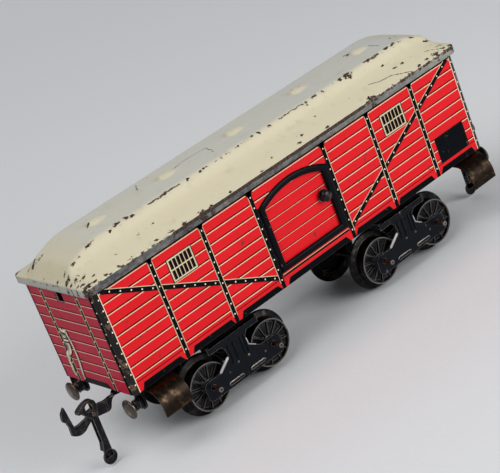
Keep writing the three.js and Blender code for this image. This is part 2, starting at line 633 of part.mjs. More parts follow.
// Half round bead on the outer face of the side plate.
function frameBead(x0, z0, x1, z1) {
  const path = new THREE.LineCurve3(
    new THREE.Vector3(x0, -FRAME_HALF, z0), new THREE.Vector3(x1, -FRAME_HALF, z1));
  const ring = new THREE.Shape();
  ring.absarc(0, 0, RIB_RADIUS, 0, 2 * Math.PI, false);
  return new THREE.ExtrudeGeometry(ring, {
    steps: 1,
    extrudePath: path,
    curveSegments: 2,
    bevelEnabled: false,
  });
}

function bogieFrame() {
  const top = roundedRectangle(FRAME_BAR_HALF, FRAME_HALF, 1);
  top.holes.push(circle(0, 0, STUD_RADIUS + RUNNING));
  let frame = solidOf(flatPlate(top, FRAME_TOP - FRAME_SHEET, FRAME_TOP, 4));

  let side = solidOf(frameSide());
  side = side.add(solidOf(frameFold(-1))).add(solidOf(frameFold(1)));
  const columnTop = FRAME_TOP - FRAME_BAR_DEPTH - 1.2;
  const columnFoot = AXLE_HEIGHT + LUG_ABOVE_AXLE + 0.8;
  for (const place of RIB_PLACES) {
    side = side.add(solidOf(frameBead(place, columnFoot, place, columnTop)));
  }
  const barHeight = AXLE_HEIGHT - LUG_BELOW_AXLE + BAR_EMBOSS_HEIGHT;
  for (const middle of BAR_EMBOSS_PLACES) {
    side = side.add(solidOf(frameBead(middle - BAR_EMBOSS_LENGTH / 2, barHeight,
      middle + BAR_EMBOSS_LENGTH / 2, barHeight)));
  }
  frame = frame.add(side).add(side.rotate([0, 0, 180]));
  return geometryOf(frame);
}

function bogieStud() {
  const head = FRAME_TOP - FRAME_SHEET - RUNNING;
  const inside = BOSS_FOOT + FLOOR_SHEET + SEAT;
  return turnedUpright([
    [0, head - STUD_HEAD_THICK], [STUD_HEAD - 0.8, head - STUD_HEAD_THICK], [STUD_HEAD, head - 0.5],
    [STUD_HEAD, head], [STUD_RADIUS, head], [STUD_RADIUS, inside], [STUD_RADIUS + 1.2, inside],
    [STUD_RADIUS + 0.8, inside + 1], [0, inside + 1.4],
  ], PIN_FACETS);
}

// Wheel on the Y axis with its face towards +Y.
function wheel() {
  const bore = AXLE_RADIUS + SEAT;
  const webFront = WHEEL_FACE - WEB_FRONT;
  const webBack = webFront - WEB_THICK;
  const rim = TREAD_RADIUS - RIM_THICK;
  const flangeFront = WHEEL_BACK + FLANGE_THICK;
  let solid = solidOf(turned([
    [bore, webBack], [rim - 0.4, webBack], [rim, WHEEL_BACK], [FLANGE_RADIUS, WHEEL_BACK],
    [FLANGE_RADIUS, flangeFront - 0.4], [TREAD_RADIUS, flangeFront + 0.2], [TREAD_RADIUS, WHEEL_FACE],
    [rim, WHEEL_FACE], [rim - 0.2, webFront], [HUB_RADIUS + 0.3, webFront],
    [HUB_RADIUS, WHEEL_FACE - 0.2], [bore, WHEEL_FACE - 0.2],
  ], FACETS));
  const reach = rim + RIM_THICK / 2;
  const ridge = new THREE.Shape();
  ridge.moveTo(webFront - SINK, -SPOKE_WIDTH / 2);
  ridge.lineTo(WHEEL_FACE - SPOKE_LOW, 0);
  ridge.lineTo(webFront - SINK, SPOKE_WIDTH / 2);
  const spoke = crossPlate(ridge, HUB_RADIUS - 0.4, reach);
  for (let i = 0; i < SPOKE_COUNT; i += 1) {
    const placed = spoke.clone();
    placed.rotateY((i + 0.5) * 2 * Math.PI / SPOKE_COUNT);
    solid = solid.add(solidOf(placed));
  }
  // turned by half a facet, so that a flat of the flange lies on the rail
  const half = 180 / FACETS;
  return geometryOf(solid.rotate([0, half, 0]));
}

function axle() {
  const dimple = 0.5;
  return turned([
    [0, -AXLE_HALF + dimple], [dimple, -AXLE_HALF], [AXLE_RADIUS - 0.15, -AXLE_HALF],
    [AXLE_RADIUS, -AXLE_HALF + 0.2], [AXLE_RADIUS, AXLE_HALF - 0.2], [AXLE_RADIUS - 0.15, AXLE_HALF],
    [dimple, AXLE_HALF], [0, AXLE_HALF - dimple],
  ], PIN_FACETS);
}

// ---------------------------------------------------------------- buffers
// Both pieces are drawn along +Y from the outer face of the lug.
function bufferSleeve() {
  const bore = STEM_RADIUS + RUNNING;
  const tail = TAIL_RADIUS + RUNNING;
  const flare = SLEEVE_COLLAR - SLEEVE_RADIUS;
  return turned([
    [tail, SEAT], [SLEEVE_FLANGE, SEAT], [SLEEVE_FLANGE, SEAT + SLEEVE_RING],
    [SLEEVE_RADIUS, SEAT + SLEEVE_RING + flare], [SLEEVE_RADIUS, SLEEVE_END - SLEEVE_RING - flare],
    [SLEEVE_COLLAR, SLEEVE_END - SLEEVE_RING], [SLEEVE_COLLAR, SLEEVE_END], [bore, SLEEVE_END],
    [bore, SEAT + SLEEVE_BASE], [tail, SEAT + SLEEVE_BASE],
  ], TURNED_FACETS);
}

function bufferPlunger() {
  const shoulder = SEAT + SLEEVE_BASE + BUFFER_TRAVEL + RUNNING;
  const inside = -BUFFER_LUG_SHEET - RUNNING;
  return turned([
    [0, inside - TAIL_HEAD_THICK], [TAIL_HEAD, inside - TAIL_HEAD_THICK], [TAIL_HEAD, inside],
    [TAIL_RADIUS, inside], [TAIL_RADIUS, shoulder], [STEM_RADIUS, shoulder], [STEM_RADIUS, HEAD_BACK],
    [BUFFER_HEAD_RADIUS, HEAD_BACK], [BUFFER_HEAD_RADIUS, HEAD_BACK + BUFFER_HEAD_RIM],
    [BUFFER_HEAD_RADIUS * 0.7, BUFFER_CROWN - 0.35 * BUFFER_HEAD_DOME], [0, BUFFER_CROWN],
  ], HEAD_FACETS);
}

// ---------------------------------------------------------------- steps
// Bracket of bent strip at the -Y side, between STEP_INNER and STEP_OUTER.
function cornerStep() {
  const bends = 6;
  const outer = [];
  const inner = [];
  const top = FLOOR_HEIGHT - SEAT;
  for (let i = 0; i <= bends; i += 1) {
    const turn = (i / bends) * Math.PI / 2;
    const y = -HALF_WIDTH - STEP_REACH * Math.sin(turn);
    const z = top - STEP_CURVE_DROP * (1 - Math.cos(turn));
    outer.push([y, z]);
    const slope = Math.atan2(STEP_CURVE_DROP * Math.sin(turn), STEP_REACH * Math.cos(turn));
    inner.push([y + STEP_SHEET * Math.sin(slope), z - STEP_SHEET * Math.cos(slope)]);
  }
  const shape = new THREE.Shape();
  shape.moveTo(-HALF_WIDTH + STEP_TAB, top);
  for (const [y, z] of outer) {
    shape.lineTo(y, z);
  }
  shape.lineTo(-HALF_WIDTH - STEP_REACH, top - STEP_DROP);
  shape.lineTo(-HALF_WIDTH - STEP_REACH + STEP_SHEET, top - STEP_DROP);
  for (const [y, z] of inner.reverse()) {
    shape.lineTo(y, z);
  }
  shape.lineTo(-HALF_WIDTH + STEP_TAB, top - STEP_SHEET);
  shape.lineTo(-HALF_WIDTH + STEP_TAB, top);
  return crossPlate(shape, STEP_INNER, STEP_OUTER);
}

// ---------------------------------------------------------------- couplings, drawn at the +X end
function couplingPost() {
  const stripTop = STRIP_HEIGHT + STRIP_THICK / 2;
  const stripBottom = STRIP_HEIGHT - STRIP_THICK / 2;
  const inside = FLOOR_TOP + SEAT;
  const geometry = turnedUpright([
    [0, stripBottom - RUNNING - PIN_HEAD_THICK],
    [COUPLING_PIN_HEAD - 0.5, stripBottom - RUNNING - PIN_HEAD_THICK],
    [COUPLING_PIN_HEAD, stripBottom - RUNNING], [COUPLING_PIN_RADIUS, stripBottom - RUNNING],
    [COUPLING_PIN_RADIUS, stripTop + RUNNING],
    [COUPLING_SHOULDER, stripTop + RUNNING], [COUPLING_SHOULDER, FLOOR_BOTTOM - SEAT],
    [COUPLING_PIN_RADIUS, FLOOR_BOTTOM - SEAT], [COUPLING_PIN_RADIUS, inside],
    [COUPLING_PIN_RADIUS + 1, inside], [COUPLING_PIN_RADIUS + 0.7, inside + 0.9], [0, inside + 0.9],
  ], PIN_FACETS);
  geometry.translate(COUPLING_PIVOT, 0, 0);
  return geometry;
}

// Flat strip that turns a quarter round its own length, as a closed loft of oblong sections.
function twistedStrip() {
  const stations = 7;
  const sections = [[COUPLING_PIVOT, STRIP_HEIGHT, 0], [STRIP_FLAT_END, STRIP_HEIGHT, 0]];
  for (let i = 1; i <= stations; i += 1) {
    const share = i / stations;
    const ease = share * share * (3 - 2 * share);
    const x = STRIP_FLAT_END + share * (STRIP_TWIST_END - STRIP_FLAT_END);
    sections.push([x, STRIP_HEIGHT - STRIP_TWIST_DROP * ease, ease * Math.PI / 2]);
  }
  sections.push([STRIP_TWIST_END + HOOK_ROOT - SINK, SHANK_HEIGHT, Math.PI / 2]);
  const corners = [[-1, -1], [1, -1], [1, 1], [-1, 1]];
  const points = [];
  for (const [x, z, roll] of sections) {
    for (const [a, b] of corners) {
      const across = a * STRIP_WIDTH / 2;
      const up = b * STRIP_THICK / 2;
      const y = across * Math.cos(roll) - up * Math.sin(roll);
      points.push(x, y, z + across * Math.sin(roll) + up * Math.cos(roll));
    }
  }
  const faces = [];
  const last = (sections.length - 1) * 4;
  faces.push(0, 2, 1, 0, 3, 2);
  faces.push(last, last + 1, last + 2, last, last + 2, last + 3);
  for (let i = 0; i + 1 < sections.length; i += 1) {
    for (let k = 0; k < 4; k += 1) {
      const a = i * 4 + k;
      const b = i * 4 + (k + 1) % 4;
      faces.push(a, b, b + 4, a, b + 4, a + 4);
    }
  }
  const geometry = new THREE.BufferGeometry();
  geometry.setAttribute('position', new THREE.Float32BufferAttribute(points, 3));
  geometry.setIndex(faces);
  return geometry;
}

// Points of an edge in X and Z, listed from a given place.
function edgePoints(x, z, list) {
  return list.map(([along, up]) => new THREE.Vector2(x + along, z + up));
}

// Upright hook: a shank, a throat and a barbed nose, in X and Z.
function hookOutline() {
  const half = STRIP_WIDTH / 2;
  const x = STRIP_TWIST_END;
  const shape = new THREE.Shape();
  shape.moveTo(x, SHANK_HEIGHT - half);
  shape.lineTo(x, SHANK_HEIGHT + half);
  shape.lineTo(x + HOOK_ROOT, SHANK_HEIGHT + half);
  shape.splineThru(edgePoints(x, SHANK_HEIGHT, HOOK_BACK));
  for (const corner of edgePoints(x, SHANK_HEIGHT, HOOK_NOSE)) {
    shape.lineTo(corner.x, corner.y);
  }
  shape.splineThru(edgePoints(x, SHANK_HEIGHT, HOOK_BELLY));
  shape.lineTo(x + HOOK_ROOT, SHANK_HEIGHT - half);
  shape.lineTo(x, SHANK_HEIGHT - half);
  return shape;
}

function drawbarHook() {
  const half = STRIP_THICK / 2;
  let solid = solidOf(twistedStrip());
  const eye = new THREE.Shape();
  eye.absarc(COUPLING_PIVOT, 0, STRIP_WIDTH / 2, 0, 2 * Math.PI, false);
  solid = solid.add(solidOf(flatPlate(eye, STRIP_HEIGHT - half, STRIP_HEIGHT + half, 6)));
  solid = solid.add(solidOf(uprightPlate(hookOutline(), -half, half, 3)));
  const hole = new THREE.Shape();
  hole.absarc(COUPLING_PIVOT, 0, COUPLING_PIN_RADIUS + RUNNING, 0, 2 * Math.PI, false);
  solid = solid.subtract(solidOf(flatPlate(hole, STRIP_HEIGHT - 5, STRIP_HEIGHT + 5, 4)));
  const pin = new THREE.Shape();
  pin.absarc(LEVER_X, LEVER_Z, LEVER_PIN_RADIUS + RUNNING, 0, 2 * Math.PI, false);
  solid = solid.subtract(solidOf(uprightPlate(pin, -5, 5, 4)));
  return geometryOf(solid);
}

// Side view of the claw: a beak that reaches over the neighbour's hook.
function clawOutline() {
  const path = new THREE.Shape();
  path.moveTo(LEVER_X - LEG_HALF, LEVER_Z - CHEEK_DROP);
  path.lineTo(LEVER_X + CLAW_SHOULDER[0], LEVER_Z + CLAW_SHOULDER[1]);
  path.splineThru(edgePoints(LEVER_X, LEVER_Z, CLAW_CROWN));
  for (const corner of edgePoints(LEVER_X, LEVER_Z, CLAW_UNDER)) {
    path.lineTo(corner.x, corner.y);
  }
  path.lineTo(LEVER_X + LEG_HALF, LEVER_Z - CHEEK_DROP);
  path.lineTo(LEVER_X - LEG_HALF, LEVER_Z - CHEEK_DROP);
  return path;
}

// Space between the cheeks, under the folded top, open below and towards the wagon.
function clawHollow() {
  const [mx, mz] = CLAW_MIDDLE;
  const crown = CLAW_CROWN.map(([x, z]) => {
    const pull = LEVER_SHEET / Math.hypot(x - mx, z - mz);
    return [x + (mx - x) * pull, z + (mz - z) * pull];
  });
  const points = edgePoints(LEVER_X, LEVER_Z, crown);
  const low = LEVER_Z - CHEEK_DROP;
  const path = new THREE.Shape();
  path.moveTo(LEVER_X + CLAW_BACK, low);
  path.lineTo(LEVER_X + CLAW_BACK, points[0].y);
  path.splineThru(points);
  path.lineTo(points[points.length - 1].x, low);
  path.lineTo(LEVER_X + CLAW_BACK, low);
  return path;
}

function clawLever() {
  const outer = LEVER_GAP / 2 + LEVER_SHEET;
  const inner = LEVER_GAP / 2;
  const wide = 2 * LEG_FOOT + BOB_RADIUS;
  const bobZ = LEVER_Z - BOB_DROP;
  const bridge = LEVER_Z - BRIDGE_DROP;

  let solid = solidOf(uprightPlate(clawOutline(), -outer, outer, 3));
  const leg = new THREE.Shape();
  leg.moveTo(LEVER_X - LEG_HALF, LEVER_Z);
  leg.lineTo(LEVER_X - LEG_HALF + LEG_LEAN, bobZ);
  leg.lineTo(LEVER_X + LEG_FOOT, bobZ);
  leg.lineTo(LEVER_X + LEG_HALF + LEG_LEAN, bridge);
  leg.lineTo(LEVER_X + LEG_HALF, LEVER_Z);
  leg.lineTo(LEVER_X - LEG_HALF, LEVER_Z);
  solid = solid.add(solidOf(uprightPlate(leg, -outer, outer)));

  // the slot between the cheeks, closed by the beak's top and by the bridge low on the legs
  const slot = box(LEVER_X - wide, LEVER_X + wide, -inner, inner, bridge, LEVER_Z + SLOT_ABOVE_PIN);
  const back = box(LEVER_X - wide, LEVER_X + CLAW_BACK, -inner, inner, LEVER_Z, LEVER_Z + BOB_DROP);
  const hollow = solidOf(uprightPlate(clawHollow(), -inner, inner, 3));
  solid = solid.subtract(hollow.add(solidOf(slot)).add(solidOf(back)));
  const shortLeg = box(LEVER_X - wide, LEVER_X + wide, -2 * outer, inner, bobZ - wide, bridge - BRIDGE_DEPTH);
  solid = solid.subtract(solidOf(shortLeg));

  const bob = new THREE.Shape();
  bob.absarc(LEVER_X + BOB_OFFSET, bobZ, BOB_RADIUS, 0, 2 * Math.PI, false);
  solid = solid.add(solidOf(uprightPlate(bob, inner, outer, 6)));

  const eye = new THREE.Shape();
  const [start, ...rest] = edgePoints(LEVER_X, LEVER_Z, CLAW_EYE);
  eye.moveTo(start.x, start.y);
  eye.splineThru([...rest, start]);
  solid = solid.subtract(solidOf(uprightPlate(eye, -2 * outer, 2 * outer, 2)));
  const bore = new THREE.Shape();
  bore.absarc(LEVER_X, LEVER_Z, LEVER_PIN_RADIUS + RUNNING, 0, 2 * Math.PI, false);
  return geometryOf(solid.subtract(solidOf(uprightPlate(bore, -2 * outer, 2 * outer, 4))));
}

function leverPin() {
  const cheek = LEVER_GAP / 2 + LEVER_SHEET + RUNNING;
  const geometry = turned([
    [0, -cheek - LEVER_PIN_HEAD_THICK], [LEVER_PIN_HEAD - 0.4, -cheek - LEVER_PIN_HEAD_THICK],
    [LEVER_PIN_HEAD, -cheek], [LEVER_PIN_RADIUS, -cheek], [LEVER_PIN_RADIUS, cheek],
    [LEVER_PIN_HEAD, cheek], [LEVER_PIN_HEAD - 0.4, cheek + LEVER_PIN_HEAD_THICK],
    [0, cheek + LEVER_PIN_HEAD_THICK],
  ], PIN_FACETS);
  geometry.translate(LEVER_X, 0, LEVER_Z);
  return geometry;
}

// ---------------------------------------------------------------- the wagon
const wagon = new THREE.Group();

function place(parent, name, geometry, material) {
  const mesh = new THREE.Mesh(geometry, material);
  mesh.name = name;
  parent.add(mesh);
  return mesh;
}

place(wagon, 'body_shell', bodyShell(), RED());
place(wagon, 'floor_pan', floorPan(), BLACK());
place(wagon, 'roof', roof(), CREAM());

// The door side is drawn once and turned about the vertical for the other side.
for (const [tag, turn] of [['a', 0], ['b', Math.PI]]) {
  const side = new THREE.Group();
  side.rotation.z = turn;
  wagon.add(side);
  place(side, `door_${tag}`, door(), RED());
  place(side, `door_knob_${tag}`, doorKnob(), BROWNED());
  place(side, `door_guide_top_${tag}`, doorGuide(true), BROWNED());
  place(side, `door_guide_low_${tag}`, doorGuide(false), BROWNED());
}

for (const [tag, sign] of [['1', -1], ['2', 1]]) {
  const bogie = new THREE.Group();
  bogie.position.x = sign * BOGIE_PIVOT;
  wagon.add(bogie);
  place(bogie, `bogie_frame_${tag}`, bogieFrame(), BLACK());
  place(bogie, `bogie_stud_${tag}`, bogieStud(), BROWNED());
  for (const [half, where] of [['a', -1], ['b', 1]]) {
    const wheelset = new THREE.Group();
    wheelset.position.set(where * WHEELBASE / 2, 0, AXLE_HEIGHT);
    bogie.add(wheelset);
    place(wheelset, `axle_${tag}${half}`, axle(), RUSTY());
    for (const [face, turn] of [['near', Math.PI], ['far', 0]]) {
      const mesh = place(wheelset, `wheel_${tag}${half}_${face}`, wheel(), DARK_ZINC());
      mesh.rotation.z = turn;
    }
  }
}

for (const [tag, turn] of [['1', Math.PI], ['2', 0]]) {
  const end = new THREE.Group();
  end.rotation.z = turn;
  wagon.add(end);
  place(end, `coupling_post_${tag}`, couplingPost(), BROWNED());
  place(end, `drawbar_hook_${tag}`, drawbarHook(), BROWNED());
  place(end, `claw_lever_${tag}`, clawLever(), BROWNED());
  place(end, `lever_pin_${tag}`, leverPin(), NICKEL());
  for (const [side, across] of [['a', -1], ['b', 1]]) {
    const buffer = new THREE.Group();
    buffer.position.set(LUG_X, across * BUFFER_SPREAD, BUFFER_HEIGHT);
    buffer.rotation.z = -Math.PI / 2;
    end.add(buffer);
    place(buffer, `buffer_sleeve_${tag}${side}`, bufferSleeve(), BROWNED());
    place(buffer, `buffer_plunger_${tag}${side}`, bufferPlunger(), NICKEL());
  }
}

for (const [tag, mirrorX, turn] of [['1', -1, 0], ['2', 1, 0], ['3', -1, Math.PI], ['4', 1, Math.PI]]) {
  const side = new THREE.Group();
  side.rotation.z = turn;
  wagon.add(side);
  const step = place(side, `corner_step_${tag}`, cornerStep(), BROWNED());
  if (mirrorX < 0) {
    step.position.x = -STEP_INNER - STEP_OUTER;
  }
}

export default wagon;
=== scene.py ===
"""Looks of a gauge 0 tinplate covered goods wagon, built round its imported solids.

Lengths are written in millimetres in the solids' own frame, X along the wagon, -Y the side
with the door knob to the right, Z up from the rails, and become metres where a mesh is made.
"""
import logging
import math
from dataclasses import dataclass, field
from enum import Enum, IntEnum
from typing import Callable, Iterable, Sequence

import bmesh
import bpy
from mathutils import Matrix, Vector
from mathutils.geometry import tessellate_polygon


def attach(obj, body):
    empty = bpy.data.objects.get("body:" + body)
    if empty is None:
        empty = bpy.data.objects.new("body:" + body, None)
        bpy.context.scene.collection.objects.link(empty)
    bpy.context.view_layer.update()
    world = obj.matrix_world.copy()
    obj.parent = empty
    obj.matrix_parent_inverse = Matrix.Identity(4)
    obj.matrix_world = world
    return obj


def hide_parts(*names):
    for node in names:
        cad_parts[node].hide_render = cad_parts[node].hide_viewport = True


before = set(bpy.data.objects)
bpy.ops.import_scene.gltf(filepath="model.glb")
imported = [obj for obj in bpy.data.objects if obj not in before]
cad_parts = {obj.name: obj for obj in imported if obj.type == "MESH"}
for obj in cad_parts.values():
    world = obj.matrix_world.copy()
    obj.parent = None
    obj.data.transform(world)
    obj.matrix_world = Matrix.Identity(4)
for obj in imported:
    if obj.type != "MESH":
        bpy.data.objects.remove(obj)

LOG = logging.getLogger("wagon")
MM = 0.001
TURN = 2 * math.pi
HALF_TURN = Matrix.Rotation(math.pi, 4, "Z")
Point2 = tuple[float, float]
Socket = bpy.types.NodeSocket
Tree = bpy.types.NodeTree

# what there are two of, by the tag in its name, with its turn or its sign
SIDES = (("a", Matrix.Identity(4)), ("b", HALF_TURN))
ENDS = (("1", -1), ("2", 1))
HALVES = (("a", -1), ("b", 1))
QUARTERS = ((1, 1), (-1, 1), (-1, -1), (1, -1))

# sizes shared by several sub-assemblies
FLOOR_HEIGHT = 34.6
HALF_LENGTH = 109.0
HALF_WIDTH = 27.0
BODY_CORNER = 3.0
WALL = 0.7
BOGIE_PIVOT = 53.5
HALF_WHEELBASE = 17.9
AXLE_HEIGHT = 14.15 * math.cos(math.pi / 20)
STRAIGHT_X = HALF_LENGTH - BODY_CORNER
STRAIGHT_Y = HALF_WIDTH - BODY_CORNER

# attributes on the roof's points that steer its paint and its painted light and shade
ROOF_MARKS = ("wear", "spots", "dust_and_painted_light", "skirt_shade_and_steel")


# ---------------------------------------------------------------- colour and nodes
def linear(code: str) -> tuple[float, float, float, float]:
    """Turns a colour written in sRGB into the linear one that a shader takes.

    Args:
        code: six hexadecimal digits, red first.
    Returns:
        Red, green, blue and an alpha of one.
    """
    parts = [int(code[i:i + 2], 16) / 255 for i in (0, 2, 4)]
    lit = [p / 12.92 if p <= 0.04045 else ((p + 0.055) / 1.055) ** 2.4 for p in parts]
    return (lit[0], lit[1], lit[2], 1.0)


def per_metre(size: float) -> float:
    """Texture scale at which one cell is as wide as size, in millimetres."""
    return 1.0 / (size * MM)


def add_node(tree: Tree, kind: str, links: dict | None = None,
             **settings: object) -> bpy.types.Node:
    """Adds a node with its settings and its inputs.

    Args:
        tree: the tree that gets the node.
        kind: the node's class.
        links: value or output socket for each input, by name or number.
        settings: the node's own properties.
    Returns:
        The new node.
    """
    node = tree.nodes.new(kind)
    for key, value in settings.items():
        setattr(node, key, value)
    for key, value in (links or {}).items():
        if isinstance(value, Socket):
            tree.links.new(value, node.inputs[key])
        else:
            node.inputs[key].default_value = value
    return node


class Coating:
    """Node tree of one material, with the masks that old painted and bare metal shares."""

    def __init__(self, name: str) -> None:
        """Starts a material with no nodes but its output and the object's coordinates."""
        self.material = bpy.data.materials.new(name)
        self.material.use_nodes = True
        self.tree = self.material.node_tree
        self.tree.nodes.clear()
        self.output = add_node(self.tree, "ShaderNodeOutputMaterial")
        self.place = add_node(self.tree, "ShaderNodeTexCoord").outputs["Object"]

    def grain(self, size: float, detail: float = 4.0, stretch: Sequence[float] = (1, 1, 1),
              rough: float = 0.6) -> Socket:
        """Noise whose largest cells are size millimetres wide, drawn out by stretch."""
        spread = add_node(self.tree, "ShaderNodeMapping", {"Vector": self.place, "Scale": stretch})
        noise = add_node(self.tree, "ShaderNodeTexNoise", {
            "Vector": spread.outputs[0], "Scale": per_metre(size), "Detail": detail,
            "Roughness": rough})
        return noise.outputs["Fac"]

    def math(self, operation: str, a: object, b: object = 0.0) -> Socket:
        """One sum of two numbers or sockets, kept between nought and one."""
        return add_node(self.tree, "ShaderNodeMath", {0: a, 1: b}, operation=operation,
                        use_clamp=True).outputs[0]

    def plus(self, a: object, b: object) -> Socket:
        """Sum of two numbers or sockets."""
        return self.math("ADD", a, b)

    def times(self, a: object, b: object) -> Socket:
        """Product of two numbers or sockets."""
        return self.math("MULTIPLY", a, b)

    def most(self, a: object, b: object) -> Socket:
        """The larger of two numbers or sockets."""
        return self.math("MAXIMUM", a, b)

    def rest(self, share: Socket) -> Socket:
        """What a share leaves of one."""
        return self.math("SUBTRACT", 1.0, share)

    def vectors(self, operation: str, links: dict) -> bpy.types.Node:
        """One step of reckoning with vectors, on inputs by name or number."""
        return add_node(self.tree, "ShaderNodeVectorMath", links, operation=operation)

    def share(self, value: Socket, low: float, high: float) -> Socket:
        """Nought below low and one above high, with a soft step between them."""
        return add_node(self.tree, "ShaderNodeMapRange", {
            "Value": value, "From Min": low, "From Max": high},
            interpolation_type="SMOOTHSTEP").outputs[0]

    def between(self, value: Socket, low: float, high: float) -> Socket:
        """A share from nought to one turned into a number from low to high."""
        return add_node(self.tree, "ShaderNodeMapRange", {
            "Value": value, "To Min": low, "To Max": high}).outputs[0]

    def mix(self, share: Socket, a: object, b: object) -> Socket:
        """Colour a where share is nought and b where it is one, each a code or a socket."""
        tints = [linear(tint) if isinstance(tint, str) else tint for tint in (a, b)]
        return add_node(self.tree, "ShaderNodeMix", {0: share, 6: tints[0], 7: tints[1]},
                        data_type="RGBA").outputs[2]

    def edges(self, radius: float, grain: Socket, start: float = 0.012,
              full: float = 0.1) -> Socket:
        """Share of wear on edges sharper than radius, broken up by a grain.

        Args:
            radius: reach of the wear from the edge, in millimetres.
            grain: noise that makes the wear uneven.
            start: bend of the surface at which wear starts.
            full: bend at which all paint is off.
        Returns:
            Nought on a flat face and one on a bare edge.
        """
        round_off = add_node(self.tree, "ShaderNodeBevel", {"Radius": radius * MM}, samples=5)
        surface = add_node(self.tree, "ShaderNodeNewGeometry")
        alike = self.vectors("DOT_PRODUCT", {
            0: round_off.outputs[0], 1: surface.outputs["Normal"]})
        bend = self.rest(alike.outputs["Value"])
        uneven = self.times(bend, self.between(grain, 0.1, 1.9))
        return self.share(uneven, start, full)

    def relief(self, height: Socket, depth: float, under: Socket | None = None) -> Socket:
        """Bump of a height from nought to one, depth millimetres high."""
        links = {"Height": height, "Distance": depth * MM, "Strength": 1.0}
        if under is not None:
            links["Normal"] = under
        return add_node(self.tree, "ShaderNodeBump", links).outputs[0]

    def skin(self, size: float, depth: float, bare: Socket, film: float) -> Socket:
        """Bump of a film on uneven sheet.

        Args:
            size: width of the sheet's dents, in millimetres.
            depth: depth of its dents.
            bare: share of the film that is gone.
            film: how high the film's edge stands.
        Returns:
            The normal.
        """
        return self.relief(self.rest(bare), film, self.relief(self.grain(size, 2.0), depth))

    def stroke(self, place: Socket, start: Point2, end: Point2, half: float) -> Socket:
        """Share of nearness to a straight scratch drawn in X and Y, half its width in mm."""
        a, run = Vector((*start, 0)) * MM, (Vector((*end, 0)) - Vector((*start, 0))) * MM
        off = self.vectors("SUBTRACT", {0: place, 1: a}).outputs[0]
        along = self.vectors("DOT_PRODUCT", {0: off, 1: run / run.length_squared})
        kept = self.plus(along.outputs["Value"], 0.0)      # within the stroke's two ends
        foot = self.vectors("SCALE", {0: run, "Scale": kept})
        gap = self.vectors("DISTANCE", {0: off, 1: foot.outputs[0]})
        return self.share(gap.outputs["Value"], half * MM, half * 0.5 * MM)

    def close(self, **sockets: object) -> bpy.types.Material:
        """Feeds the surface shader, by its own socket names with _ for a space."""
        links = {key.replace("_", " "): value for key, value in sockets.items()}
        shader = add_node(self.tree, "ShaderNodeBsdfPrincipled", links)
        self.tree.links.new(shader.outputs[0], self.output.inputs["Surface"])
        return self.material


# ---------------------------------------------------------------- finishes
@dataclass(frozen=True)
class PrintedTin:
    """Lithographed tinplate: ink rolled on flat sheet, baked and varnished, then folded.

    The eye gets one even, strong colour with a thin gloss, a faint roll of tone from the
    press, brown scuffs, and matt metal along folds where the varnish has cracked.
    """

    name: str
    colour: str
    deep: str
    bare: str = "4A3A33"
    wear: float = 1.0
    scuffs: float = 0.04
    varnish: float = 0.1
    gloss: float = 0.22

    def material(self) -> bpy.types.Material:
        """Builds the node tree."""
        coat = Coating(self.name)
        roll = coat.grain(26.0, 3.0, (1, 1, 2.2))
        fine = coat.grain(1.1, 5.0)      # real ink grain is 0.1 mm and would not show
        tone = coat.mix(coat.share(roll, 0.3, 0.75), self.deep, self.colour)
        tone = coat.mix(coat.between(coat.share(fine, 0.3, 0.8), 0.0, 0.12), tone, self.deep)
        scuff_field = coat.times(coat.grain(5.0, 6.0), coat.between(fine, 0.55, 1.5))
        scuff = coat.share(scuff_field, 0.72 - self.scuffs, 0.77 - self.scuffs)
        edge = coat.edges(0.35, fine, 0.03, 0.3)
        worn = coat.most(coat.times(scuff, 0.8), coat.times(edge, 0.8 * self.wear))
        return coat.close(Base_Color=coat.mix(worn, tone, self.bare),
                          Roughness=coat.between(worn, 0.38, 0.5),
                          Normal=coat.skin(3.4, 0.008, worn, 0.02),
                          Metallic=coat.times(worn, 0.4), Specular_IOR_Level=self.gloss,
                          Coat_Weight=self.varnish, Coat_Roughness=0.14)


